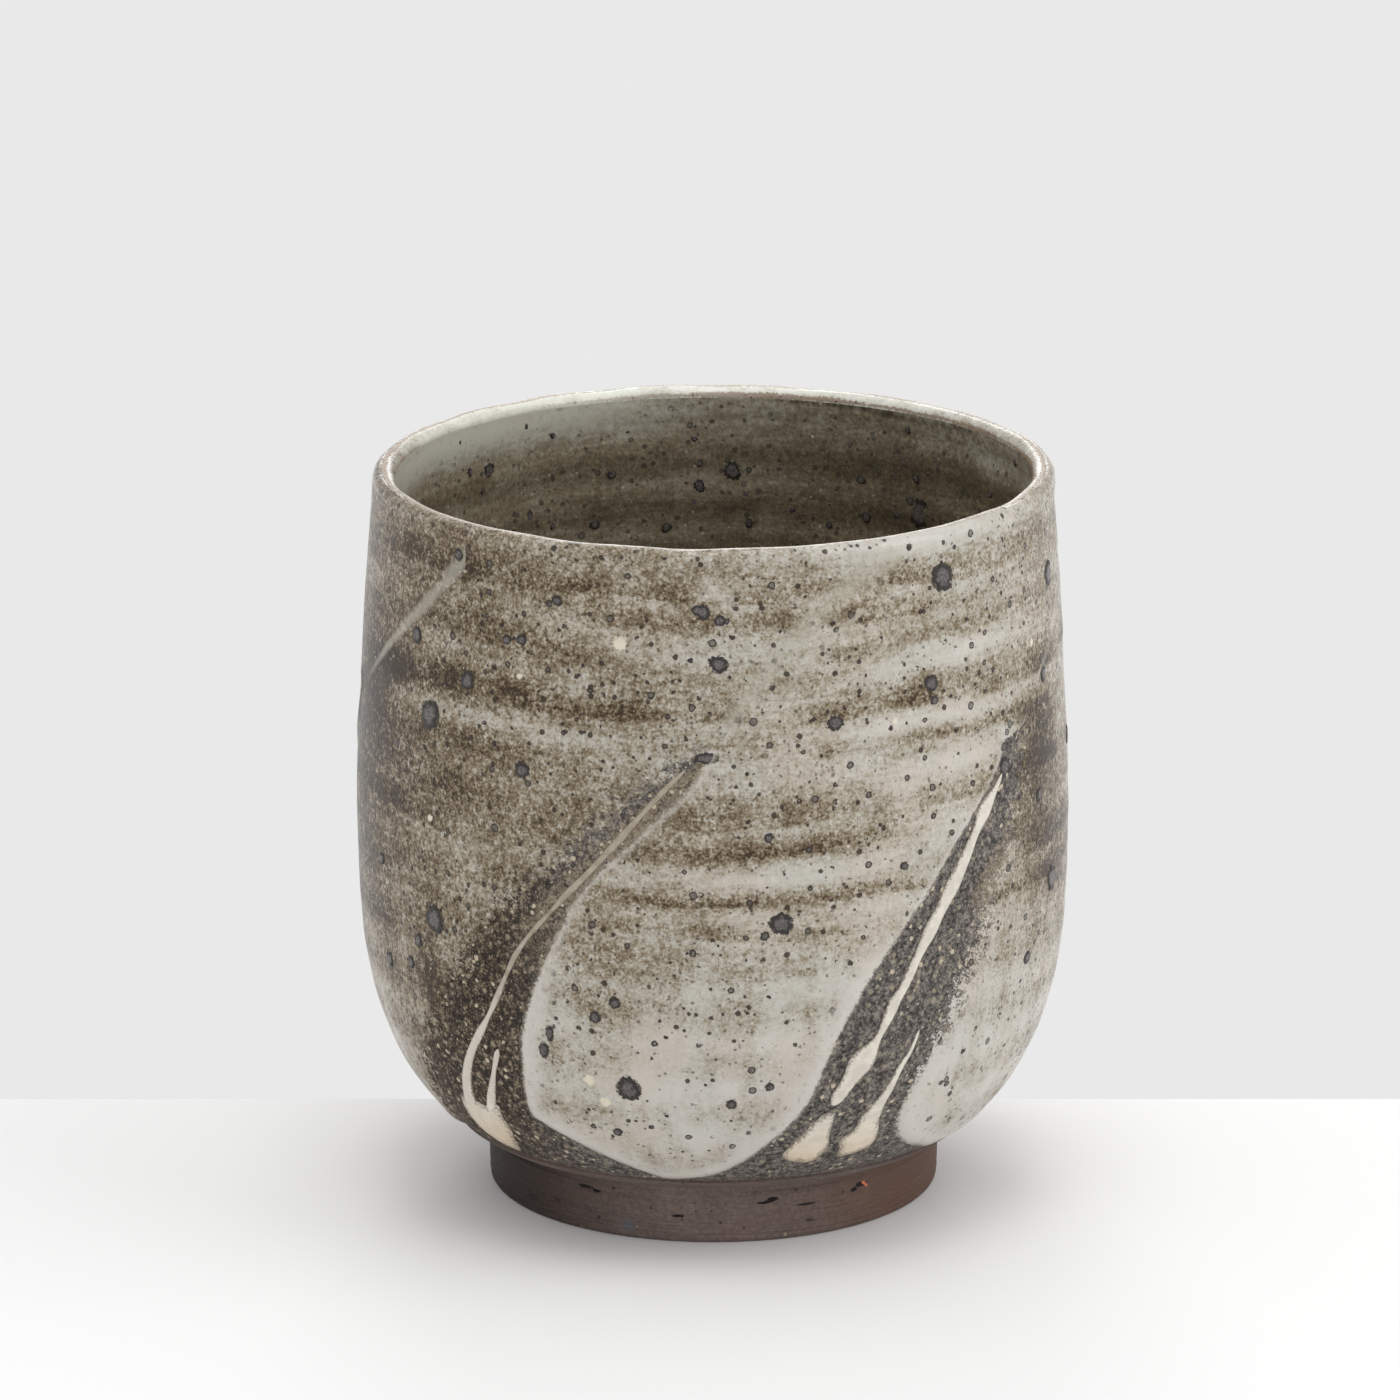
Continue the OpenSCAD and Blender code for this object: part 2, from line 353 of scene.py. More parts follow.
def joined_grid(bm, columns, rows, place, marks, name):
    """A grid whose last row joins its first, each row put where place(column, row) says."""
    layer = bm.verts.layers.float[name]
    verts = bmesh.ops.create_grid(bm, x_segments=columns, y_segments=rows, size=1)["verts"]
    at_column = [round((vert.co.x + 1) / 2 * columns) for vert in verts]
    at_row = [round((vert.co.y + 1) / 2 * rows) % rows for vert in verts]
    places = place(np.array(at_column), np.array(at_row)).tolist()
    for vert, row, co in zip(verts, at_row, places):
        vert.co = co
        vert[layer] = marks[row]
    seam = [vert for vert in verts if vert.is_boundary]
    bmesh.ops.remove_doubles(bm, verts=seam, dist=1e-8)


def turned(profile, marks, steps, start=0, sweep=2 * math.pi):
    """Turns a closed outline round the cup's axis, and closes its ends if that isn't a full turn.
    marks says which of its points show."""
    bm = bmesh.new()
    bm.verts.layers.float.new("shows")
    outline = np.array(profile, float)

    def place(column, row):
        turn = start + sweep * column / steps
        r, z = outline[row].T
        return np.stack([r * np.sin(turn), -r * np.cos(turn), z], -1)

    joined_grid(bm, steps, len(profile), place, marks, "shows")
    layer = bm.verts.layers.float["shows"]
    for edge in bm.edges:
        shown = sum(min(vert[layer] for vert in face.verts) for face in edge.link_faces)
        if edge.is_manifold and shown == 1:
            edge.smooth = False
    if sweep < 2 * math.pi:
        ends = [edge for edge in bm.edges if edge.is_boundary]
        for edge in ends:
            edge.smooth = False
        bmesh.ops.edgeloop_fill(bm, edges=ends)
    bmesh.ops.recalc_face_normals(bm, faces=bm.faces)
    return bm


def clay_paint(finish, where, dark, light, warm):
    """Fired clay: a soft mottle of three colours, with dark and pale grains in it."""
    cloud = finish.noise(where, 6.0, 3.0)
    fine = finish.noise(where, 0.45, 3.0)
    colour = finish.mix((cloud * 0.5 + fine * 0.9 - 0.2).between(0.25, 0.85), dark, light)
    warmth = finish.noise(finish.millimetres((0.6, 0.6, 1.6)), 9.0, 2.0).between(0.5, 0.8)
    colour = finish.mix(warmth * 0.6, colour, warm)
    colour = finish.mix(finish.grains(where, 0.9, 0.33, 0.35) * 0.75, colour, paint(38, 32, 30))
    return finish.mix(finish.grains(where, 1.7, 0.2, 0.3) * 0.6, colour, paint(196, 178, 152))


# Thrown wall: the cup's side, pulled up from dark stoneware with iron in it. It is bare only
# between the foot and the glaze, where a sponge and a turning tool left faint lines round it.
wall = Finish("wall_clay")
where = wall.millimetres()
rings = wall.noise(wall.millimetres((0.02, 0.02, 1.0)), 0.35, 3.0)
grit = wall.noise(where, 0.22, 2.0)
colour = clay_paint(wall, where, paint(98, 84, 78), paint(128, 114, 107), paint(132, 104, 86))
colour = wall.mix(rings.between(0.35, 0.7) * 0.35, colour, paint(82, 68, 62))
wall_bump = wall.bump(rings * 0.6 + grit * 0.5, 0.12, 0.6)
wall_clay = wall.ceramic(colour, 0.72, wall_bump)

clay_spread = np.linspace(0, 1, 40)[1:] ** 1.4
clay_zs = np.concatenate(
    [np.linspace(foot_h, glaze_line_z, 14), glaze_line_z + (lip_z - glaze_line_z) * clay_spread]
)
# Above bare_top_z the clay keeps further back than the coat is thick, so that it never shows
clay_sunk = 0.0008
bare_top_z = 0.009
clay_outline = [(outside_r(z) - glaze_t - (0 if z < bare_top_z else clay_sunk), z) for z in clay_zs]
inner_belly_r = belly_r - wall_t
inner_rim_r = rim_r - 2 * lip_r


def bowl_height(r):
    """The height of the bowl's glazed floor at a radius, out to its widest place."""
    share = np.clip(r / inner_belly_r, 0, 1)
    rise = 1 - (1 - share**bowl_root) ** (1 / bowl_power)
    return bowl_z + glaze_t + (belly_z - bowl_z - glaze_t) * rise


def inner_r(z):
    """The bowl's radius above its widest place."""
    share = np.clip((z - belly_z) / (lip_z - belly_z), 0, 1)
    return inner_belly_r - (inner_belly_r - inner_rim_r) * share**draw_in_power


bowl_rs = foot_in_r + (inner_belly_r - foot_in_r) * (1 - (1 - np.linspace(0, 1, 16)) ** 2)
clay_outline += [(inner_r(z) + glaze_t, z) for z in np.linspace(lip_z, belly_z, 14)]
clay_outline += [(r + glaze_t, bowl_height(r) - glaze_t / 2) for r in bowl_rs[-2::-1]]
clay_outline += [(foot_in_r, foot_h)]
bm = turned(clay_outline, [0] * len(clay_outline), steps=240)
thrown_wall = made(bm, "thrown_wall_clay", wall_clay)
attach(thrown_wall, "root")
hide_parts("thrown_wall")


# Foot ring: the bare ring the cup stands on, turned from the same clay with a loop tool when
# it was half dry. The tool dragged grit along its side, which left fine lines and small pits.
foot = Finish("foot_clay")
where = foot.millimetres()
lines = foot.noise(foot.millimetres((0.015, 0.015, 1.0)), 0.28, 4.0, 0.7)
drags = foot.noise(foot.millimetres((0.12, 0.12, 1.4)), 0.5, 3.0)
grit = foot.noise(where, 0.18, 2.0)
pits = foot.grains(foot.millimetres((0.45, 0.45, 1.3)), 1.9, 0.26, 0.4)
side_on = foot.axis(where, 0)
colour = clay_paint(foot, where, paint(104, 89, 84), paint(134, 118, 111), paint(128, 104, 92))
colour = foot.mix(lines.between(0.4, 0.75) * 0.3, colour, paint(88, 74, 69))
colour = foot.mix(drags.between(0.55, 0.8) * 0.3, colour, paint(146, 130, 122))
# Darker towards the foot's left side: painted shade, on the side away from the lamp at the right. Towards
# the right it turns a warmer red-brown.
colour = foot.mix(side_on.between(4, 26) * 0.8, colour, paint(90, 62, 47))
colour = foot.mix(side_on.between(-25, -4), foot.mix(0.9, colour, paint(34, 24, 19)), colour)
colour = foot.mix(pits * 0.8, colour, paint(40, 32, 29))
torn_out = foot.attribute("pit") + (grit - 0.5) * 0.9
colour = foot.mix(torn_out.between(0.35, 0.6), colour, paint(26, 21, 20))
fleck = foot.attribute("fleck")
colour = foot.mix((fleck + (grit - 0.5) * 0.5).between(0.3, 0.6) * 0.8, colour, paint(96, 98, 104))
colour = foot.mix((0 - fleck).between(0.35, 0.6), colour, paint(222, 132, 92))
height = lines * 0.5 + drags * 0.3 + grit * 0.3 - pits * 1.2
foot_clay = foot.ceramic(colour, 0.62, foot.bump(height, 0.15, 0.7), specular=0.25)

foot_edge = 0.0006
foot_taper = 0.0002
edge_turn = np.linspace(0, math.pi / 2, 9)
side_zs = np.linspace(foot_edge, foot_h, 70)
foot_side = [(foot_r - foot_taper * (1 - (z / foot_h) ** 0.5), z) for z in side_zs]
foot_outline = [(foot_in_r, foot_h), (foot_in_r, foot_h / 2), (foot_in_r, foot_edge)]
foot_outline += [
    (foot_in_r + foot_edge * (1 - math.cos(t)), foot_edge * (1 - math.sin(t))) for t in edge_turn[1:]
]
sole_rs = np.linspace(foot_in_r + 2 * foot_edge, foot_r - foot_taper - 2 * foot_edge, 8)
foot_outline += [(r, 0) for r in sole_rs]
foot_outline += [
    (foot_r - foot_taper - foot_edge * (1 - math.sin(t)), foot_edge * (1 - math.cos(t)))
    for t in edge_turn[:-1]
]
foot_outline += foot_side
marks = [0] * (len(foot_outline) - len(foot_side)) + [1] * len(foot_side)
bm = turned(foot_outline, marks, steps=540)
foot_ring = made(bm, "foot_ring_clay", foot_clay)


def skin_of(piece):
    """The piece's points, and which of them are on the face that shows."""
    mesh = piece.data
    points = np.empty(len(mesh.vertices) * 3)
    mesh.vertices.foreach_get("co", points)
    shows = np.empty(len(mesh.vertices))
    mesh.attributes["shows"].data.foreach_get("value", shows)
    return points.reshape(-1, 3), shows > 0.5


def move_to(piece, points):
    piece.data.vertices.foreach_set("co", points.ravel())
    piece.data.update()


def angle_of(points):
    """The points' angle round the cup from its front, in radians."""
    return np.arctan2(points[:, 0], -points[:, 1])


def across_foot(angle, middle):
    """How far places on the foot are from an angle, both in radians, in millimetres round the cup."""
    return ((angle - middle + math.pi) % (2 * math.pi) - math.pi) * foot_r * 1000


def bell(across, up=0):
    """1 in the middle, falling away smoothly from it, on a line or on a surface."""
    return np.exp(-(across**2) - up**2)


def add_numbers(piece, name, values):
    numbers = piece.data.attributes.new(name, "FLOAT", "POINT").data
    numbers.foreach_set("value", values.astype(np.float32))


points, shows = skin_of(foot_ring)
angle = angle_of(points)
height = points[:, 2] / foot_h
depth = 0.00003 * (np.sin(height * 61) + np.sin(height * 97 + 2 * np.sin(angle * 2)) + 2)
depth += 0.00012 * bell((height - 0.9) / 0.03) * (1.3 + np.sin(5 * angle))
rng = np.random.default_rng(7)
for pit_angle, pit_height, pit_size in zip(
    rng.uniform(-math.pi, math.pi, 46), rng.uniform(0.15, 0.97, 46), rng.uniform(0.2, 0.75, 46)
):
    across = across_foot(angle, pit_angle)
    up = (points[:, 2] - pit_height * foot_h) * 1000
    depth += 0.0002 * pit_size * bell(across / (pit_size * 1.6), up / (pit_size * 0.45))
# Deep pits where the tool tore grit out: angle from the front, height, half their width and height
torn = np.zeros(len(points))
for pit_angle, pit_z, wide, high in [
    (40.5, 5.2, 0.9, 0.35), (38, 4.7, 0.5, 0.3), (15, 5.2, 0.8, 0.3), (12.5, 4.8, 1.0, 0.2),
    (-34.4, 5.5, 1.2, 0.28), (-31, 5.2, 0.6, 0.2), (-9, 3.3, 0.9, 0.2), (24, 4.1, 1.5, 0.16),
    (88, 4, 1.1, 0.3), (131, 5.3, 0.8, 0.3), (186, 3.2, 1.2, 0.24), (229, 4.9, 0.9, 0.35),
    (262, 3.8, 1.3, 0.2),
]:
    across = across_foot(angle, math.radians(pit_angle))
    torn += bell(across / wide, (points[:, 2] * 1000 - pit_z) / high)
add_numbers(foot_ring, "pit", torn)
# A blue-grey fleck of ash, more than 0, and an orange one of unmelted clay, less than 0
fleck = np.zeros(len(points))
for fleck_angle, fleck_z, half, sign in [
    (-22, 1.6, 0.8, 1), (41.4, 5.3, 0.28, -1), (42.2, 4.9, 0.22, -1), (150, 4.5, 0.6, 1),
]:
    across = across_foot(angle, math.radians(fleck_angle))
    fleck += sign * bell(np.hypot(across, points[:, 2] * 1000 - fleck_z) / half)
add_numbers(foot_ring, "fleck", fleck)
depth += 0.00025 * torn
fade = np.clip((1 - height) / 0.04, 0, 1) * shows
inward = points * (1, 1, 0) / np.maximum(np.hypot(points[:, 0], points[:, 1]), 1e-9)[:, None]
move_to(foot_ring, points - inward * (depth * fade)[:, None])
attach(foot_ring, "root")
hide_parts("foot_ring")


# Cup floor: the clay disc between the recess under the cup and the bowl. Its underside is
# bare, with rings like the ones that a turning tool leaves.
floor_finish = Finish("floor_clay")
where = floor_finish.millimetres()
grit = floor_finish.noise(where, 0.2, 3.0)
colour = clay_paint(floor_finish, where, paint(88, 74, 68), paint(122, 107, 100), paint(128, 100, 84))
floor_clay = floor_finish.ceramic(colour, 0.7, floor_finish.bump(grit, 0.12, 0.6))
floor_rs = np.linspace(foot_in_r, 0, 150)
turning_pitch = 0.0021
turning_depth = 0.00016
turning_fade = 0.001


def recess_height(r):
    """The height of the floor's underside at a radius. Its rings fade out at the foot ring."""
    ring = turning_depth * (1 + math.cos(2 * math.pi * r / turning_pitch))
    return recess_z + ring * min(1, (foot_in_r - r) / turning_fade)


floor_outline = [(r, bowl_height(r) - glaze_t) for r in np.linspace(0, foot_in_r, 8)]
floor_outline += [(r, recess_height(r)) for r in floor_rs]
bm = turned(floor_outline, [0] * len(floor_outline), steps=180)
bmesh.ops.remove_doubles(bm, verts=bm.verts, dist=1e-7)
cup_floor = made(bm, "cup_floor_clay", floor_clay)
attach(cup_floor, "root")
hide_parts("cup_floor")


# Outside glaze: the cup was held by its foot and dipped in a milky wood-ash glaze. It is thin
# and brown on the throwing rings, where iron comes through, and thick and pale between them.
# Five fingers wiped slanting marks in it while it was wet, each with a pale roll at one edge.
strip_sweep = 72
strip_starts = [-81, -9, 63, 135, 207]
broad_left = [
    (-26, 7.5), (-20.5, 13), (-16.8, 17.8), (-12.7, 22.8), (-8, 27.8), (-3, 32.8), (2, 37.8), (8, 42.8),
    (15, 47.8), (23, 52.8), (30, 57.8), (38.6, 62.8), (44, 64.3),
]
broad_right = [
    (44.5, 64.3), (42, 60.8), (38, 57.8), (31, 52.8), (24.5, 47.8), (20.4, 42.8), (17, 37.8),
    (14.3, 32.8), (12.3, 27.8), (11.6, 22.8), (10.7, 17.8), (14, 16), (21, 13.6), (28, 11.3),
    (35.3, 9.1), (38, 7.5),
]
twin_left = [
    (-40, 7.5), (-36.7, 9.1), (-27.3, 10.3), (-20.5, 13.3), (-13.8, 18), (-10.4, 21.8), (-7.7, 27.8),
    (-4.3, 32.8), (-1, 36.8), (3.8, 41.3), (9.2, 45.8), (14, 50.3), (19.4, 54.3), (24.8, 58.3),
    (27, 61),
]
twin_right = [
    (33, 62), (31, 55), (28, 47.8), (23.4, 43.8), (20, 37.8), (16.6, 32.8), (14, 27.8), (10.6, 23.8),
    (8, 18.8), (8.6, 15.3), (13.4, 12.3), (21.4, 10.3), (31, 7.5),
]
broad_tail = [(44, 65), (49.5, 71), (56, 78), (65, 88)]
twin_tail = [(31, 61), (37, 65.5), (47, 71), (60, 79)]
front_tail = [(44, 65), (48.5, 69), (54, 74), (60, 79), (67, 83), (76, 86)]
far_tail = [(49, 62.5), (62.5, 70.8), (76, 79.3), (85.5, 87), (91, 91)]
# Each wiped mark: its foot's angle from the front, and its width and height over the outlines'
front_broad, front_twin = (-45, 1, 1), (27, 1, 1)
back_broad, back_twin, far_broad = (99, 0.92, 1.08), (171, 1.14, 0.94), (230, 1.03, 0.97)
# The same marks with their outline and tail, how clear the tail is and how wide
finger_marks = [
    (front_broad, broad_left, broad_right, front_tail, 0.66, 1.3),
    (front_twin, twin_left, twin_right, twin_tail, 0.6, 0.7),
    (back_broad, broad_left, broad_right, broad_tail, 0.7, 0.8),
    (back_twin, twin_left, twin_right, twin_tail, 0.5, 0.7),
    (far_broad, broad_left, broad_right, far_tail, 0.8, 0.5),
]
# Thin scratches beside the tails: their line, half their width and how clear they are
scratches = [
    ([(3, 64.5), (7, 67.6), (14.3, 74), (20, 77.7), (24.8, 80.1)], 0.4, 0.75),
    ([(24.5, 73.3), (28.5, 75.7)], 0.3, 0.8), ([(-49, 78.2), (-39, 82.7), (-31, 86.4)], 0.3, 0.5),
]


def turn_from(angle, middle):
    """How far an angle is turned from another, from -180 to 180 degrees."""
    return (angle - middle + 180) % 360 - 180


def degree_mm(z):
    """How many millimetres of the wall a degree takes up at a height in millimetres."""
    return np.radians(1) * outside_r(z / 1000) * 1000


def across_wall(angle, middle, z):
    """How far places on the wall are from an angle, in millimetres round the cup."""
    return turn_from(angle, middle) * degree_mm(z)


def round_cup(table, angle):
    """What a table of (angle, value) says round the cup."""
    return np.interp(angle, *np.transpose(table), period=360)


def through(points, count):
    """Points evenly along a smooth curve through the given ones."""
    points = np.array(points, float)
    padded = np.vstack([2 * points[0] - points[1], points, 2 * points[-1] - points[-2]])
    curve = []
    for p0, p1, p2, p3 in zip(padded, padded[1:], padded[2:], padded[3:]):
        for t in np.linspace(0, 1, 14, endpoint=False):
            curve.append(
                0.5 * (2 * p1 + (p2 - p0) * t + (2 * p0 - 5 * p1 + 4 * p2 - p3) * t**2
                       + (3 * p1 - p0 - 3 * p2 + p3) * t**3)
            )
    curve = np.array(curve + [points[-1]])
    length = np.concatenate([[0], np.cumsum(np.hypot(*np.diff(curve[:, :2], axis=0).T))])
    evenly = np.linspace(0, length[-1], count)
    return np.stack([np.interp(evenly, length, column) for column in curve.T], -1)


def stretched(z, height):
    """A height on an outline, for a mark that stands that much taller on the glaze's lower edge."""
    base = glaze_line_z * 1000
    return base + (z - base) * height


def placed(points, width, height):
    """A mark's line, smoothed, in its own width and height."""
    smooth = through(points, 3 * len(points))
    return np.stack([smooth[:, 0] * width, stretched(smooth[:, 1], height)], -1)


def distance_to_line(angle, z, points):
    """How far each place on the wall is from a line of points, in millimetres along the wall."""
    round_mm = degree_mm(z)
    up = up_of(z / 1000) * 1000
    nearest = np.full(angle.shape, 1e9)
    for (a0, z0), (a1, z1) in zip(points[:-1], points[1:]):
        x0, y0 = (a0 - angle) * round_mm, up_of(z0 / 1000) * 1000 - up
        dx, dy = (a1 - a0) * round_mm, (up_of(z1 / 1000) - up_of(z0 / 1000)) * 1000
        along = np.clip(-(x0 * dx + y0 * dy) / np.maximum(dx * dx + dy * dy, 1e-9), 0, 1)
        nearest = np.minimum(nearest, np.hypot(x0 + along * dx, y0 + along * dy))
    return nearest


def inside_outline(angle, z, points):
    """Which places lie inside a closed outline."""
    within = np.zeros(angle.shape, bool)
    for (a0, z0), (a1, z1) in zip(points, np.roll(points, -1, axis=0)):
        crosses = (z0 > z) != (z1 > z)
        where_it_does = a0 + (z - z0) * (a1 - a0) / (z1 - z0 if z1 != z0 else 1e-9)
        within ^= crosses & (angle < where_it_does)
    return within


def waves(angle, z, seed, round_most, up_most):
    """A gentle unevenness round the cup and up it, mostly between -1 and 1."""
    pick = np.random.default_rng(seed)
    total = np.zeros(np.broadcast(angle, z).shape)
    for _ in range(9):
        total = total + np.sin(
            np.radians(angle) * pick.integers(1, round_most + 1) + z * pick.uniform(-up_most, up_most)
            + pick.uniform(0, 2 * math.pi)
        )
    return total / 3


def step(value, low, high):
    share = np.clip((value - low) / (high - low), 0, 1)
    return share * share * (3 - 2 * share)


# Each brown ring: the height of its crisp lower edge, its depth, and how brown it is round the cup
brown_rings = [
    (82.3, 2.4, [(-80, 0.3), (-55, 0.3), (-20, 0.34), (5, 0.36), (20, 0.3), (40, 0.32), (56, 0.2),
                 (62, 0.05), (85, 0.25), (120, 0.4), (165, 0.1), (200, 0.35), (250, 0.3)]),
    (79.2, 2.2, [(-80, 0.15), (-40, 0.1), (-8, 0.12), (4, 0.36), (30, 0.3), (52, 0.25), (58, 0.05),
                 (100, 0.3), (150, 0.05), (190, 0.3), (240, 0.1)]),
    (75.6, 2.0, [(-80, 0.1), (0, 0), (18, 0), (27, 0.26), (50, 0.24), (58, 0), (110, 0.1), (160, 0.3),
                 (230, 0.3)]),
    (68.1, 3.0, [(-80, 0.5), (-70, 0.55), (-57, 0.3), (-44, 0.3), (-28, 0.4), (-14, 0.45), (-5, 0.5),
                 (4, 0.34), (10, 0.1), (20, 0.24), (34, 0.34), (46, 0.3), (55, 0.3), (61, 0.2),
                 (80, 0.4), (125, 0.45), (150, 0.15), (185, 0.4), (225, 0.5)]),
    (63.5, 1.7, [(-80, 0.1), (-20, 0.05), (2, 0.02), (9, 0.28), (17, 0.2), (30, 0.2), (40, 0.36),
                 (50, 0.44), (57, 0.3), (90, 0.1), (135, 0.4), (180, 0.1), (230, 0.3)]),
    (56.2, 2.6, [(-80, 0.2), (-60, 0.25), (-40, 0.2), (-18, 0.2), (-6, 0.3), (3, 0.45), (12, 0.45),
                 (20, 0.3), (30, 0.1), (40, 0.26), (49, 0.4), (53, 0.3), (85, 0.4), (120, 0.2),
                 (170, 0.45), (215, 0.2)]),
    (52.0, 1.9, [(-80, 0.4), (-60, 0.35), (-40, 0.15), (-10, 0.1), (0, 0.38), (14, 0.4), (27, 0.26),
                 (35, 0.02), (90, 0.2), (140, 0.42), (200, 0.4), (250, 0.1)]),
    (46.7, 0.9, [(-80, 0.1), (-20, 0.1), (-8, 0.35), (14, 0.32), (30, 0.26), (38, 0.05), (75, 0.3),
                 (115, 0.3), (160, 0.05), (210, 0.35)]),
    (42.6, 1.5, [(-80, 0.2), (-55, 0.12), (-22, 0.1), (-8, 0.34), (8, 0.32), (20, 0.22), (29, 0.04),
                 (66, 0.3), (120, 0.3), (185, 0.3), (240, 0.3)]),
    (36.8, 1.6, [(-80, 0.25), (-60, 0.05), (-10, 0.06), (10, 0.15), (25, 0.06), (75, 0.16), (130, 0.15),
                 (200, 0.2)]),
]
# Broader patches: angle, height, half its width and half its height in millimetres, and how much thicker
# the glaze is there. The thinner ones on the far left, around -84 to -63 degrees, are partly painted shade
# on the side away from the lamp at the right.
thick_and_shaded_patches = [
    (-76, 58, 7, 14, -0.2), (-68, 69, 6, 3, -0.24), (-70, 36, 6, 7, -0.06), (-58, 47, 8, 7, 0.08),
    (-43, 47, 7, 6, 0.08), (-84, 50, 5, 24, -0.14), (-60, 38, 4, 5, 0.1), (-13, 37, 7, 5, -0.1),
    (-16, 30, 4, 5, -0.06), (-52, 31, 4, 6, -0.2), (-20, 53.5, 7, 2.5, -0.14), (66, 59, 4.5, 5.5, -0.4),
    (62, 49, 4, 5, -0.32), (72, 46, 8, 9, -0.2), (54, 33, 4, 9, -0.22), (48, 22, 4, 7, -0.1),
    (16, 34, 13, 8, 0.06), (-6, 22, 12, 9, 0.1), (33, 60.8, 14, 1.4, 0.2), (30, 66.2, 14, 1.2, 0.2),
    (8, 60.5, 6, 1.2, 0.1), (15, 49.4, 16, 1.3, 0.16), (2, 44.8, 9, 1, 0.12),
    (-52, 65.6, 14, 1.2, 0.12), (-30, 65.4, 12, 1.1, 0.1), (35, 86.8, 22, 1.2, 0.15),
    (10, 73.4, 10, 1.6, 0.08), (45, 73, 10, 1.4, 0.1), (70, 22, 10, 9, 0.02), (-72, 22, 10, 8, 0.16),
    (-72, 64, 6, 4, -0.3), (-63, 68.5, 6, 2, -0.2), (8, 39, 10, 1.4, 0.08), (30, 38, 6, 6, 0.08),
    (95, 60, 12, 9, 0.1), (118, 30, 10, 12, 0.14), (140, 58, 8, 12, -0.2), (160, 76, 14, 6, 0.1),
    (178, 40, 8, 8, -0.15), (200, 66, 12, 8, -0.15), (214, 26, 12, 10, 0.14), (232, 46, 9, 9, -0.2),
]
# How thick the coat is round the cup, by angle. It is thinner and browner towards the left side: partly
# thinner glaze, partly painted shade on the side away from the lamp at the right.
coat_round = [
    (-180, 0.6), (-130, 0.5), (-100, 0.38), (-80, 0.34), (-55, 0.4), (-30, 0.46), (-12, 0.52), (5, 0.6),
    (40, 0.75), (55, 0.68), (63, 0.5), (80, 0.45), (100, 0.5), (140, 0.6),
]


def glaze_coat(angle, z):
    """How thick the glaze lies, from 0 where clay shows through to 1; towards the cup's left side it is
    also lowered as painted shade. Angles are in degrees and heights in millimetres."""
    coat = round_cup(coat_round, angle)
    coat = coat + 0.16 * step(z, 46, 27) + 0.06 * waves(angle, z, 3, 5, 0.08)
    coat = coat + 0.07 * np.sin(z * 0.9 + waves(angle, z, 4, 4, 0.03) * 2)
    for number, (low, depth, brown_round) in enumerate(brown_rings):
        brown = round_cup(brown_round, angle)
        brown = brown * (1 + 0.5 * waves(angle, z, 20 + number, 31, 0.3))
        above = z - low - 0.45 * waves(angle, 0 * z, 40 + number, 9, 0)
        coat = coat - 0.58 * brown * np.where(above < 0, bell(above / 0.45), bell(above / depth))
    for patch_angle, patch_z, wide, high, more in thick_and_shaded_patches:
        across = across_wall(angle, patch_angle, z)
        near = (np.abs(across) < 2.6 * wide) & (np.abs(z - patch_z) < 2.6 * high)
        lumpy = 1 + 0.3 * waves(angle[near], z[near], int(patch_angle + 500), 17, 0.35)
        coat[near] += more * lumpy * bell(across[near] / wide, (z[near] - patch_z) / high)
    return coat


def finger_fields(angle, z):
    """How far inside a wiped mark a place is, in millimetres, whether the nearer edge is ragged,
    how near it is to the tail above a mark, and where glaze closed over the mark again."""
    bare = 1.15 * (glaze_line_z * 1000 - z)
    ragged = np.zeros(angle.shape)
    tail = np.zeros(angle.shape)
    closed = np.zeros(angle.shape)
    for (foot, width, height), left, right, tail_line, clear, wide in finger_marks:
        turned_by = turn_from(angle, foot)
        near = np.abs(turned_by - 10) < 75
        a, h = turned_by[near], z[near]
        left_line, right_line = placed(left, width, height), placed(right, width, height)
        from_left = distance_to_line(a, h, left_line)
        from_right = distance_to_line(a, h, right_line)
        inside = inside_outline(a, h, np.concatenate([left_line, right_line]))
        away = np.minimum(from_left, from_right)
        depth = np.where(inside, away, -away)
        across = from_left / (from_left + from_right)
        if left is broad_left:
            soft = step(1 - across, 0.45, 0.6)
            shut = step(h, 34, 47) * step(across, 0.3, 0.55)
        else:
            soft = step(across, 0.45, 0.6) * step(h, 18, 34)
            shut = step(h, 40, 44) * step(-h, -50, -46) * step(across, 0.6, 0.8)
        closed[near] = np.where(inside, shut, closed[near])
        taken = depth > bare[near]
        bare[near] = np.where(taken, depth, bare[near])
        ragged[near] = np.where(taken, soft, ragged[near])
        from_tail = distance_to_line(a, h, placed(tail_line, width, 1))
        spread = wide + 0.045 * np.maximum(h - 66, 0)
        streak = clear * bell(from_tail / spread) * step(h, 62, 68)
        tail[near] = np.maximum(tail[near], streak)
    for line, wide, clear in scratches:
        near = np.abs(turn_from(angle, line[0][0])) < 40
        away = distance_to_line(angle[near], z[near], through(line, 12))
        tail[near] = np.maximum(tail[near], clear * bell(away / wide))
    return bare, ragged, tail, closed


# Chips of white feldspar at the surface: angle, height and radius
chips = [
    (-15.4, 76.8, 0.85), (-51.6, 52.1, 0.5), (-21, 23.8, 0.75), (-18.5, 21.0, 0.7), (-33, 71.6, 0.4),
    (30, 66.6, 0.35), (-24, 51, 0.35), (64, 71, 0.5), (112, 66, 0.8), (158, 50, 0.6), (203, 76, 0.7),
    (248, 60, 0.6), (130, 22, 0.7),
]


def chips_at(angle, z):
    share = np.zeros(angle.shape)
    for chip_angle, chip_z, size in chips:
        across = across_wall(angle, chip_angle, z)
        share = np.maximum(share, 1.2 - 0.7 * np.hypot(across, z - chip_z) / size)
    return share.clip(0)


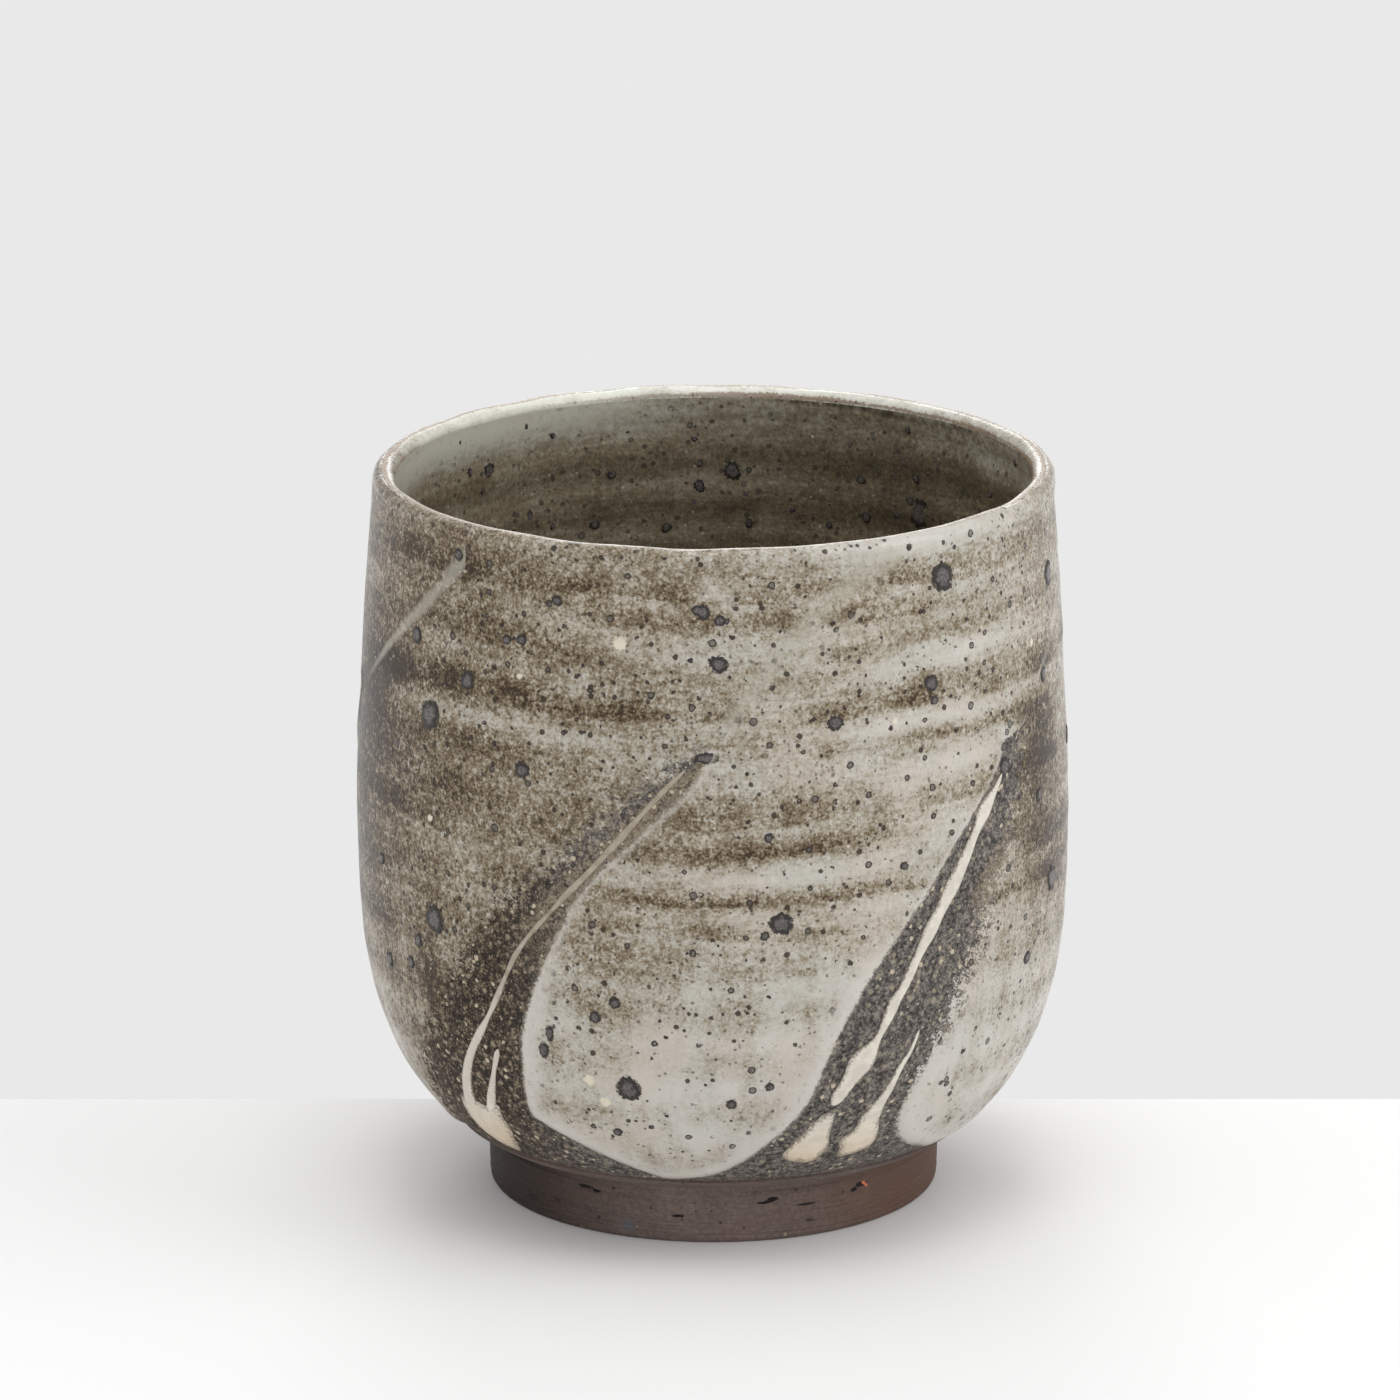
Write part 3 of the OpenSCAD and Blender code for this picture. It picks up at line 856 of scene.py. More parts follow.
# Each iron spot on the outside: angle from the front, height, half its width, and its height over
# its width
front_spots = [
    (40.3, 82.4, 1.5, 1), (-52.3, 64.4, 1.6, 1), (-50.3, 40, 1.5, 1), (10.5, 44, 1.35, 0.85),
    (-14.2, 23.1, 1.4, 1), (0.7, 74.8, 1.0, 0.9), (-1.9, 80.9, 0.8, 1), (19.5, 67.3, 0.9, 1),
    (37, 70.3, 0.9, 1), (-43.5, 69.8, 1.0, 1), (-32, 60.6, 0.9, 1), (-1.2, 63.8, 1.3, 0.5),
    (54, 57.8, 1.1, 1), (73.6, 77.6, 1.3, 1.1), (69.7, 41.3, 1.4, 1), (-57, 73.2, 0.9, 1),
    (-65.8, 32, 0.9, 1), (-55, 36.5, 0.75, 1), (-66.8, 44.3, 0.7, 1), (-27.3, 29.2, 0.5, 1.7),
    (-28.6, 26.9, 0.6, 1.6), (-19.2, 32, 0.65, 1), (-15.8, 34, 0.6, 1), (64.2, 52.6, 0.8, 1),
    (68.2, 66.5, 0.9, 1), (-26.4, 81.1, 0.6, 1), (-46.8, 84.3, 0.65, 1), (8.5, 54.3, 0.5, 1),
    (61.2, 33.2, 0.75, 1), (-57.7, 33.3, 0.7, 1), (-35.7, 75.6, 0.55, 1), (-32.8, 75.9, 0.6, 1),
    (-2.9, 81.1, 0.5, 1), (7.9, 42.6, 0.5, 1), (0.9, 79.9, 0.6, 1), (37.6, 68.2, 0.5, 1),
    (31.2, 49.3, 0.5, 1), (53.1, 60.4, 0.5, 1), (9.2, 23.6, 0.5, 1), (2.9, 21.4, 0.55, 1),
    (-17.2, 16.9, 0.5, 1),
]
back_spots = [
    (104, 79, 1.2, 1), (128, 57.6, 1.5, 1), (149, 71, 0.85, 1), (152, 35, 1.35, 1), (176, 63.7, 1.6, 1),
    (189, 80.6, 0.85, 1), (207, 50.5, 1.2, 1), (221, 30.3, 1.5, 0.9), (236, 71.2, 1.0, 1),
    (251, 45.8, 1.4, 1), (266, 79, 1.0, 1), (85, 55.8, 1.0, 1), (113, 40, 0.7, 1), (137, 76, 0.6, 1),
    (166, 48, 0.65, 1), (199, 70, 0.6, 1), (228, 60, 0.6, 1), (243, 36, 0.7, 1), (95, 27, 0.8, 1),
    (186, 25, 0.7, 1),
]


def stained(angle, z):
    """How near a place is to an iron spot, which stains the glaze brown at its edge."""
    share = np.zeros(angle.shape)
    for spot_angle, spot_z, half, tall in front_spots + back_spots:
        across = across_wall(angle, spot_angle, z)
        beyond = np.hypot(across, (z - spot_z) / tall) - half
        share = np.maximum(share, bell(np.maximum(beyond, 0) / (0.16 + 0.12 * half)))
    return share


def unroll(piece, start, sweep, rows, share_of_map):
    """Gives a turned piece a flat map: what shows of it in rows, the rest at the edge."""
    mesh = piece.data
    points, shows = skin_of(piece)
    corners = np.empty(len(mesh.loops), int)
    mesh.loops.foreach_get("vertex_index", corners)
    totals = np.empty(len(mesh.polygons), int)
    mesh.polygons.foreach_get("loop_total", totals)
    face_of = np.repeat(np.arange(len(totals)), totals)
    starts = np.concatenate([[0], np.cumsum(totals)[:-1]])
    turned_by = (np.degrees(angle_of(points)) - start + 1e-3) % 360 - 1e-3
    up = np.empty(len(points))
    mesh.attributes["up"].data.foreach_get("value", up)
    corner_turn = turned_by[corners]
    face_turn = np.add.reduceat(corner_turn, starts) / totals
    spread = np.maximum.reduceat(corner_turn, starts) - np.minimum.reduceat(corner_turn, starts)
    face_turn = np.where(spread > 180, 360 - 1e-3, face_turn)
    over_seam = (spread[face_of] > 180) & (corner_turn < 180)
    corner_turn = np.where(over_seam, corner_turn + 360, corner_turn)
    row_sweep = sweep / rows
    row = np.clip(np.floor(face_turn / row_sweep), 0, rows - 1)[face_of]
    across = np.clip(corner_turn - row * row_sweep, 0, row_sweep) / row_sweep
    face_shows = np.minimum.reduceat(shows[corners].astype(int), starts)[face_of] > 0
    gap = 0.004
    skin_u = gap + across * (share_of_map - 2 * gap)
    skin_v = (row + gap * rows + up[corners] * (1 - 2 * gap * rows)) / rows
    rest_u = share_of_map + (1 - share_of_map) * (0.1 + 0.8 * (row + across) / rows)
    rest_v = 0.01 + 0.98 * np.clip(points[corners, 2] / cup_h, 0, 1)
    flat = np.stack([np.where(face_shows, skin_u, rest_u), np.where(face_shows, skin_v, rest_v)], -1)
    mesh.uv_layers.new(name="OFBake").data.foreach_set("uv", flat.ravel().astype(np.float32))


def spots(finish, where, pitch, widest, share, rim):
    """Iron specks: a mask of the whole speck and one of the dark ring at its edge."""
    size, chance, away = finish.cells(where, pitch)
    depth = ((size * 0.7 + 0.3) * widest - away) * pitch
    whole = depth.between(0, 0.08) * (chance < share)
    ring = whole * (1 - depth.between(rim, rim + 0.12))
    return whole, ring


def shaken(finish, where, amount, grain):
    """The same places, pushed about by a fine noise, so that round specks come out ragged."""
    look = {"Vector": where, "Scale": 1 / grain, "Detail": 2.0}
    push = finish.node("ShaderNodeTexNoise", None, look).outputs["Color"]
    push = finish.vector("MULTIPLY", finish.vector("SUBTRACT", push, (0.5,) * 3), (amount,) * 3)
    return finish.vector("ADD", where, push)


coat_colours = [
    (0.0, paint(54, 40, 26)), (0.16, paint(82, 66, 46)), (0.32, paint(113, 98, 76)),
    (0.48, paint(142, 129, 109)), (0.62, paint(166, 157, 141)), (0.78, paint(190, 184, 173)),
    (1.0, paint(208, 204, 196)),
]


def ash_glaze(finish, coat, speckle, ringed=0.42, rough=1.0):
    """The ash glaze over iron-bearing clay, for a coat of that thickness: its colour and its height.
    ringed is how much the throwing rings draw it out round the cup, rough how grainy it is."""
    where = finish.millimetres()
    uneven = shaken(finish, where, 0.3, 0.45)
    fine = finish.noise(where, 0.33, 3.0, 0.65)
    grain = finish.noise(where, 0.8, 3.0, 0.6)
    cloud = finish.noise(finish.millimetres((0.7, 0.7, 1.0)), 4.0, 3.0)
    drawn = finish.noise(finish.millimetres((0.13, 0.13, 1.0)), 0.9, 4.0, 0.6)
    rough_share = (2.2 - coat * 1.9) * rough
    thickness_and_light = coat + (cloud - 0.5) * 0.42 + (drawn - 0.5) * ringed
    thickness_and_light = thickness_and_light + ((grain - 0.5) * 0.75 + (fine - 0.5) * 0.95) * rough_share
    colour = finish.ramp(thickness_and_light, coat_colours)
    cool = finish.noise(where, 11.0, 2.0)
    cool_share = cool.between(0.45, 0.62) * thickness_and_light.between(0.5, 0.85) * 0.3
    colour = finish.mix(cool_share, colour, paint(188, 189, 180))
    warm_share = (1 - cool).between(0.48, 0.62) * thickness_and_light.between(0.45, 0.8) * 0.35
    colour = finish.mix(warm_share, colour, paint(196, 183, 169))
    cream = finish.grains(uneven, 1.1, 0.24, 0.8, 0.14)
    colour = finish.mix(cream * 0.65, colour, paint(222, 212, 192))
    dusty = (1.4 - thickness_and_light).between(0.15, 1.15) * speckle
    dust = finish.grains(uneven, 0.62, 0.42, dusty, 0.1)
    colour = finish.mix(dust * 0.6, colour, paint(66, 53, 42))
    seed, _ = spots(finish, uneven, 1.4, 0.3, dusty * 1.2, 0.07)
    colour = finish.mix(seed * 0.9, colour, paint(52, 41, 34))
    more_uneven = shaken(finish, where, 0.35, 0.45)
    small, small_ring = spots(finish, more_uneven, 2.3, 0.24, 0.75 * speckle, 0.12)
    colour = finish.mix(small * 0.75, colour, paint(88, 82, 79))
    colour = finish.mix(small_ring * 0.9, colour, paint(46, 39, 36))
    height = grain * 0.45 + fine * 0.3 + cloud * 0.5
    height = height - dust * 0.25 + small * 0.5 + seed * 0.3 + cream * 0.2
    return colour, height, thickness_and_light, where


glaze = Finish("outside_glaze")
bare = glaze.attribute("bare")
ragged = glaze.attribute("ragged")
closed = glaze.attribute("closed")
place = glaze.millimetres()
side_x, up_z = glaze.axis(place, 0), glaze.axis(place, 2)
drips = glaze.noise(glaze.millimetres((1.0, 1.0, 0.13)), 2.6, 3.0)
high_up = up_z.between(26, 48)
coat = glaze.attribute("coat") + (drips - 0.5) * (1 - high_up) * 0.7
colour, height, thickness_and_light, where = ash_glaze(glaze, coat, 1.0, high_up * 0.34 + 0.08)
fine = glaze.noise(where, 0.3, 3.0, 0.6)
blots = glaze.noise(where, 1.3, 4.0, 0.65)
drawn_out = glaze.noise(glaze.millimetres((0.5, 0.5, 0.16)), 1.2, 3.0)
tail = glaze.attribute("tail")
tail = tail * 1.3 - 0.2 + (drawn_out - 0.5) * 1.4 * tail + (fine - 0.5) * 0.3
colour = glaze.mix(tail.between(0.05, 0.9) * 0.6, colour, paint(184, 179, 165))
chip = glaze.attribute("chip") + (fine - 0.5) * 0.8 + (blots - 0.5) * 0.5
colour = glaze.mix(chip.between(0.4, 0.75), colour, paint(226, 216, 196))
stain = glaze.attribute("stain") * 1.1 + (fine - 0.5) * 2.0 + (blots - 0.5) * 1.0
colour = glaze.mix(stain.between(0.72, 1.0) * 0.85, colour, paint(52, 43, 36))
low_down = 1 - up_z.between(30, 46)
roll = (bare / (low_down * 3.0 + 1.0) + 1).between(0, 0.8)
roll = roll * (1 - (bare + 0.3).between(0, 0.5)) * (1 - ragged)
roll = roll * (low_down * 0.4 + 0.45 + (blots - 0.5) * 1.0)
colour = glaze.mix(roll, colour, paint(209, 204, 196))
brown_flank = (bare + 3.6).between(0, 3.6) * ragged * (blots + (fine - 0.5) * 1.2).between(0.42, 0.66)
colour = glaze.mix(brown_flank * 0.55, colour, paint(76, 61, 46))
edge = bare + (blots - 0.5) * (1.8 + ragged * 10.0) + (fine - 0.5) * (1.8 + ragged * 9.0)
wiped = edge.between(-0.2, 0.35)
grit = glaze.grains(shaken(glaze, where, 0.3, 0.4), 0.95, 0.46, 0.95, 0.14)
coarse = glaze.noise(where, 0.8, 4.0, 0.75)
mottle = coarse + (fine - 0.5) * 0.7 + (blots - 0.5) * 0.3
slate = [(0.34, paint(50, 46, 44)), (0.5, paint(94, 89, 86)), (0.66, paint(144, 136, 125))]
brown_black = [(0.36, paint(30, 23, 18)), (0.53, paint(66, 54, 44)), (0.68, paint(142, 127, 104))]
# Towards the cup's left side the wiped film turns brown-black instead of slate: painted shade, on the side
# away from the lamp at the right.
left_side_shade = (-12 - side_x).between(0, 14)
film = glaze.mix(left_side_shade, glaze.ramp(mottle, slate), glaze.ramp(mottle, brown_black))
film = glaze.mix(glaze.grains(where, 0.8, 0.46, 0.7, 0.16) * 0.6, film, paint(38, 32, 29))
film = glaze.mix(grit * 0.55, film, paint(172, 159, 137))
shut = closed * (blots + (fine - 0.5) * 0.4).between(0.3, 0.6)
shut_film = glaze.mix(fine.between(0.35, 0.65), paint(112, 96, 76), paint(158, 145, 124))
film = glaze.mix(shut * 0.8, film, shut_film)
specks = glaze.grains(shaken(glaze, where, 0.35, 0.5), 1.15, 0.34, 0.9, 0.1)
film = glaze.mix(specks * 0.85, film, paint(206, 192, 168))
low_clay = clay_paint(glaze, where, paint(92, 79, 73), paint(124, 111, 103), paint(126, 101, 84))
low_clay = glaze.mix(specks * 0.5, low_clay, paint(190, 176, 154))
film = glaze.mix(1 - up_z.between(8.0, 10.4), film, low_clay)
colour = glaze.mix(wiped, colour, film)
height = height * (1 - wiped) + wiped * (coarse * 1.1 + blots * 0.5 + grit * 0.4)
roughness = 0.24 + wiped * 0.34 + (1 - thickness_and_light) * 0.1
outside_finish = glaze.ceramic(colour, roughness, glaze.bump(height, 0.13, 0.8), specular=0.22)


# The wall's relief in millimetres: a wiped mark's depth and its roll's height, how deep the thick
# coat's hollows, its lumps and the hand's waves go, and how high a tail stands
wipe_depth, roll_height = 0.32, 0.16
coat_depth, lump_depth, hand_depth, tail_height = 0.11, 0.05, 0.08, 0.06


def wall_out(angle, z, coat, bare_mm, ragged, tail, closed):
    """How far the finished wall lies out of the glaze's true surface, in millimetres."""
    wiped_away = step(bare_mm, -0.7, 0.9) * wipe_depth * (1 - 0.5 * closed)
    bead = roll_height * bell((bare_mm + 1.2) / 0.8) * (1 - ragged)
    hollow = coat_depth * step(coat, 0.25, 0.75) + lump_depth * (1 + waves(angle, z, 60, 6, 0.3))
    hand = hand_depth * (1 + waves(angle, z, 61, 3, 0.05))
    out = bead - wiped_away - hollow - hand + tail_height * tail
    return out * step(z, lip_z * 1000 + 0.1, lip_z * 1000 - 3)


# The skin's lower end, how many millimetres it is tucked in there, and how far a strip reaches back
skin_low = 0.0079
tucked_in = 0.44
sunk = 0.0011
skin_ups = np.linspace(up_of(skin_low), up_of(lip_z), 330)
skin_zs = z_of(skin_ups)
back_zs = [lip_z - 0.0002, 0.075, 0.06, 0.045, 0.03, 0.02, 0.014, 0.0105, skin_low + 0.0003]
strip_profile = [(float(outside_r(z)), float(z)) for z in skin_zs]
strip_profile += [(float(outside_r(z)) - sunk, z) for z in back_zs]
for number, strip_start in enumerate(strip_starts):
    bm = turned(
        strip_profile, [1] * len(skin_zs) + [0] * len(back_zs), steps=216,
        start=math.radians(strip_start), sweep=math.radians(strip_sweep),
    )
    strip = made(bm, f"outside_glaze_{number + 1}", outside_finish)
    points, shows = skin_of(strip)
    angle = np.degrees(angle_of(points))
    z = points[:, 2] * 1000
    fields = finger_fields(angle, z)
    coat_share = glaze_coat(angle, z)
    for name, values in [
        *zip(("bare", "ragged", "tail", "closed"), fields),
        ("stain", stained(angle, z)), ("coat", coat_share), ("chip", chips_at(angle, z)),
        ("up", (up_of(points[:, 2]) - skin_ups[0]) / (skin_ups[-1] - skin_ups[0])),
    ]:
        add_numbers(strip, name, values)
    out = wall_out(angle, z, coat_share, *fields)
    below = step(z, 9.0, 8.0)
    out = out * (1 - below) - tucked_in * below
    held_in = np.minimum(out / 1000, belly_r - outside_r(points[:, 2]))
    skin = on_cup(np.radians(angle), points[:, 2], held_in)
    rest = points + sag(np.radians(angle), points[:, 2])
    move_to(strip, np.where(shows[:, None], skin, rest))
    unroll(strip, strip_start, strip_sweep, 1, 0.94)
    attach(strip, "root")
    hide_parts("outside_glaze")


# Glaze runs: thick glaze that the finger pushed aside and that then crept down the bare mark,
# in thin cream threads that end in drops above the foot.
runs_finish = Finish("glaze_runs")
where = runs_finish.millimetres()
fine = runs_finish.noise(where, 0.3, 2.0)
cloud = runs_finish.noise(where, 1.6, 3.0)
low_end = runs_finish.axis(where, 2)
colour = runs_finish.mix(cloud.between(0.35, 0.65), paint(210, 203, 190), paint(228, 221, 208))
colour = runs_finish.mix((1 - low_end.between(9.5, 19)) * 0.75, colour, paint(232, 206, 170))
dull = runs_finish.attribute("dull") * (0.7 + (cloud - 0.5) * 1.0)
colour = runs_finish.mix(dull.between(0.1, 0.9), colour, paint(152, 139, 118))
at_edge = runs_finish.attribute("edge") + (fine - 0.5) * 1.0 + (cloud - 0.5) * 0.6
colour = runs_finish.mix(at_edge.between(0.66, 1.05) * 0.8, colour, paint(116, 103, 88))
specks = runs_finish.grains(where, 1.2, 0.2, 0.6, 0.1)
colour = runs_finish.mix(specks * 0.55, colour, paint(104, 92, 78))
runs_glaze = runs_finish.ceramic(colour, 0.3, runs_finish.bump(fine * 0.4 + cloud, 0.06, 0.5))

# Runs and their drops on a mark: angle from the mark's foot, height, and half the width
broad_thread = [
    (40.5, 62.4, 0.14), (36, 59, 0.25), (31, 54.7, 0.3), (25.5, 50, 0.3), (19.1, 44.8, 0.24),
    (12.3, 38.8, 0.24), (7.5, 32.1, 0.3), (4.5, 28.5, 0.4), (0.2, 24.1, 0.52), (-2, 21.5, 0.6),
    (-3.8, 18.9, 0.62), (-5, 16, 0.85), (-4, 13.6, 0.6),
]
side_thread = [
    (6.8, 25.6, 0.26), (4.5, 21.9, 0.4), (2.8, 19.3, 0.45), (0.6, 16.4, 0.72), (-1, 13.6, 0.6),
]
broad_drop = [
    (-8.2, 16.3), (-9.4, 13.9), (-9.2, 11.4), (-6.5, 9.8), (-2.6, 9.2), (-0.2, 9.7), (1.6, 11.6),
    (2.8, 13.6), (2.5, 15.6), (3.1, 17.4), (0.4, 16.6), (-2.4, 16.6), (-5.5, 17.2),
]
twin_thread = [
    (26.1, 57.2, 0.3), (24.2, 55.6, 0.55), (20.7, 52.8, 0.75), (15.3, 46.8, 0.85), (10.6, 41.8, 0.8),
    (7.2, 37.8, 0.5), (4.8, 34.5, 0.66), (3.2, 32.8, 0.64), (1.8, 30.5, 0.5), (0.5, 28.5, 0.48),
    (-1, 26.7, 0.95), (-2.5, 25.1, 1.2), (-4, 23.1, 1.1), (-5.5, 21.2, 0.85), (-6.3, 20.1, 0.4),
]
twin_drop = [
    (-5.4, 18.9), (-7.4, 19), (-9, 17.9), (-12.2, 14.9), (-13.9, 13.2), (-12, 11.9), (-7.4, 11.5),
    (-5.2, 13.5), (-5.6, 16),
]
late_thread = [
    (8.4, 28.5, 0.16), (7.2, 25.9, 0.26), (5.8, 24.2, 0.38), (5, 22.7, 0.38), (4, 20.8, 0.58),
    (2.6, 18.7, 0.85), (1.6, 16.4, 1.0), (1.2, 14.6, 0.6),
]
late_drop = [
    (2.8, 18.4), (0.2, 18.2), (-0.8, 15.9), (-3, 14.6), (-2.4, 13.3), (-1.9, 11.8), (2, 12),
    (4.7, 12.9), (4.9, 14.5), (4, 16.8),
]


# How many millimetres runs and spots are sunk in the wall and lifted off it
sunk_mm = 0.3
lifted_mm = 0.03
# How much fuller threads are than their tables say, and the half width from which they stand full
fuller = 1.18
full_from = 0.55


def wall_level(angle, z):
    """The finished wall's distance out of the glaze, as wall_out gives it, at any angle and height."""
    return wall_out(angle, z, glaze_coat(angle, z), *finger_fields(angle, z))


def add_thread(bm, mark, points, proud):
    """A thread of glaze: a tube drawn along its curve, domed outside and sunk in the wall behind."""
    foot, width, height = mark
    sections = through(points, 12 + 8 * len(points))
    a = foot + sections[:, 0] * width
    h = stretched(sections[:, 1], height)
    round_mm = degree_mm(h)
    along = np.stack([np.gradient(a) * round_mm, np.gradient(h)], -1)
    along /= np.hypot(*along.T)[:, None]
    level = wall_level(a, h)
    number = np.arange(len(sections))
    end = np.minimum(1, np.minimum(number / 3, (number[-1] - number) / 2 + 0.3))
    lumpy = 1 + 0.22 * waves(a * 3, h * 1.3, len(points), 9, 0.9)
    half = fuller * sections[:, 2] * np.sqrt(np.maximum(end, 0.02)) * lumpy
    rise = proud * np.minimum(1, half / full_from)
    corners = 16

    def place(column, row):
        turn = 2 * math.pi * row / corners
        across = np.cos(turn) * half[column]
        up = np.sin(turn)
        lift = np.where(up > 0, rise[column] * np.maximum(up, 0) ** 1.2, sunk_mm * up)
        spot_a = np.radians(a[column] + across * along[column, 1] / round_mm[column])
        spot_z = (h[column] - across * along[column, 0]) / 1000
        return on_cup(spot_a, spot_z, (level[column] + lift + lifted_mm) / 1000)

    edge_marks = [abs(math.cos(2 * math.pi * row / corners)) for row in range(corners)]
    joined_grid(bm, len(sections) - 1, corners, place, edge_marks, "edge")


ball = bpy.data.meshes.new("ball")
bm = bmesh.new()
bmesh.ops.create_uvsphere(bm, u_segments=60, v_segments=16, radius=1)
bm.to_mesh(ball)
bm.free()


def add_ball(bm, place):
    """Adds the ball, each of its points put where place(distance from its axis, turn, side) says."""
    there = set(bm.verts)
    bm.from_mesh(ball)
    layer = bm.verts.layers.float["edge"]
    verts = [vert for vert in bm.verts if vert not in there]
    x, y, side = np.array([vert.co[:] for vert in verts]).T
    flat = np.minimum(np.hypot(x, y), 1)
    for vert, co, far in zip(verts, place(flat, np.arctan2(y, x), side).tolist(), flat.tolist()):
        vert.co = co
        vert[layer] = far


def add_drop(bm, mark, outline, proud):
    """A drop: a ball pressed flat on the wall and drawn out to the outline."""
    foot, width, height = mark
    outline = np.array([(foot + a * width, stretched(h, height)) for a, h in outline])
    loop = through(np.vstack([outline, outline[:1]]), 72)
    middle = outline.mean(axis=0)
    round_mm = float(degree_mm(middle[1]))
    across, up = (loop[:, 0] - middle[0]) * round_mm, loop[:, 1] - middle[1]
    around = np.arctan2(up, across)
    order = np.argsort(around)
    reach = np.hypot(across, up)[order]

    def place(flat, turn, side):
        far = np.interp(turn, around[order], reach, period=2 * math.pi) * flat**0.9
        spot_a = middle[0] + far * np.cos(turn) / round_mm
        spot_z = middle[1] + far * np.sin(turn)
        lift = np.where(side > 0, proud, -sunk_mm) * (1 - flat**2.6)
        return on_cup(np.radians(spot_a), spot_z / 1000, (wall_level(spot_a, spot_z) + lift) / 1000)

    add_ball(bm, place)


broad_marks = (front_broad, back_broad, far_broad)


def runs_piece(name, threads, drops, *nodes):
    bm = bmesh.new()
    bm.verts.layers.float.new("edge")
    for thread in threads:
        add_thread(bm, *thread)
    bmesh.ops.holes_fill(bm, edges=[edge for edge in bm.edges if edge.is_boundary])
    for drop in drops:
        add_drop(bm, *drop)
    bmesh.ops.recalc_face_normals(bm, faces=bm.faces)
    piece = made(bm, name, runs_glaze)
    points = np.array([vert.co[:] for vert in piece.data.vertices])
    angle = np.degrees(angle_of(points))
    on_broad = np.max([np.abs(turn_from(angle, foot + 18)) < 33 for foot, *_ in broad_marks], axis=0)
    z = points[:, 2] * 1000
    add_numbers(piece, "dull", on_broad * (0.45 * step(z, 16, 20) + 0.55 * step(z, 27, 40)))
    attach(piece, "root")
    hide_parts(*nodes)


runs_piece(
    "left_run", [(front_broad, broad_thread, 0.16), (front_broad, side_thread, 0.16)],
    [(front_broad, broad_drop, 0.36)], "left_glaze_run",
)
runs_piece(
    "right_runs", [(front_twin, twin_thread, 0.26), (front_twin, late_thread, 0.2)],
    [(front_twin, twin_drop, 0.34), (front_twin, late_drop, 0.34)], "right_glaze_runs",
)
runs_piece(
    "back_runs",
    [(back_broad, broad_thread, 0.16), (back_broad, side_thread, 0.16), (back_twin, twin_thread, 0.24),
     (back_twin, late_thread, 0.2), (far_broad, broad_thread, 0.16), (far_broad, side_thread, 0.16)],
    [(back_broad, broad_drop, 0.34), (back_twin, twin_drop, 0.32), (back_twin, late_drop, 0.32),
     (far_broad, broad_drop, 0.34)], "back_glaze_runs",
)


# Rim: the lip was rounded with a wet leather, and the glaze drew back from its highest line in
# the fire, so that the clay shows through there as a broken tan line.
rim_finish = Finish("rim_glaze")
across_lip = rim_finish.attribute("up")
colour, height, _, where = ash_glaze(rim_finish, rim_finish.attribute("coat"), 0.9)
fine = rim_finish.noise(where, 0.35, 3.0, 0.6)
broken = rim_finish.noise(rim_finish.millimetres((0.5, 0.5, 0.5)), 1.5, 4.0, 0.65)
patchy = rim_finish.noise(where, 12.0, 1.0)
# The crest is painted pale: partly pale glaze, partly a painted highlight where the lamps catch the lip.
pale_top = (across_lip + (broken - 0.5) * 0.3).between(0.4, 0.56)
pale_top = pale_top * (rim_finish.attribute("pale") + (broken - 0.5) * 1.2 + (fine - 0.5) * 0.5)
colour = rim_finish.mix(pale_top, colour, paint(230, 230, 219))
uneven = (fine - 0.5) * 2.0 + (patchy - 0.5) * 2.0
ridge = 1.15 - (across_lip - 0.5 - (broken - 0.5) * 0.12).unsigned() * 11
inner = 1.1 - (across_lip - 0.92 - (broken - 0.5) * 0.12).unsigned() * 9
worn = (ridge + uneven).between(0.2, 0.7) * rim_finish.attribute("crest")
worn = worn.most((inner + uneven).between(0.2, 0.7) * rim_finish.attribute("inner"))
colour = rim_finish.mix(worn * 0.85, colour, paint(136, 108, 82))
colour = rim_finish.mix(worn * rim_finish.grains(where, 0.6, 0.4, 0.6), colour, paint(84, 62, 46))
rim_bump = rim_finish.bump(height * 0.8 + worn * fine * 0.5, 0.18, 0.8)
lip_glaze = rim_finish.ceramic(colour, 0.17 + worn * 0.3, rim_bump, specular=0.45)
lip_turn = np.linspace(0, math.pi, 46)
lip_middle_r = rim_r - lip_r
rim_outline = [(lip_middle_r + lip_r * math.cos(t), lip_z + lip_r * math.sin(t)) for t in lip_turn]
rim_back = [(lip_middle_r - 0.4 * lip_r, lip_z - 0.0003), (lip_middle_r + 0.4 * lip_r, lip_z - 0.0003)]
bm = turned(rim_outline + rim_back, [1] * len(lip_turn) + [0] * len(rim_back), steps=720)
rim = made(bm, "lip_glaze", lip_glaze)
points, _ = skin_of(rim)
angle = angle_of(points)
r = np.hypot(points[:, 0], points[:, 1])
turn = np.arctan2(points[:, 2] - lip_z, r - lip_middle_r)
across = np.clip(turn / math.pi, 0, 1)
add_numbers(rim, "up", across)
outer_coat = glaze_coat(np.degrees(angle), np.full(angle.shape, lip_z * 1000))
# How pale the crest is, partly pale glaze and partly a painted highlight, most at the back and front where
# the lamps catch the lip, and how worn it and its inner edge are, by the angle from the front
pale_round = [
    (0, 0.75), (40, 0.5), (70, 0.1), (100, 0.15), (125, 0.5), (150, 0.9), (215, 1), (240, 0.7),
    (262, 0.12), (320, 0.1),
]
inner_round = [
    (0, 0.2), (60, 0.7), (100, 1), (170, 0.9), (195, 0.6), (210, 0.3), (235, 0.1), (300, 0.1),
]
crest_round = [(0, 0.25), (40, 0.5), (90, 0.9), (180, 0.75), (250, 0.9), (300, 0.9), (330, 0.4)]
pale = round_cup(pale_round, np.degrees(angle))
add_numbers(rim, "pale", pale)
add_numbers(rim, "inner", round_cup(inner_round, np.degrees(angle)))
add_numbers(rim, "crest", round_cup(crest_round, np.degrees(angle)))
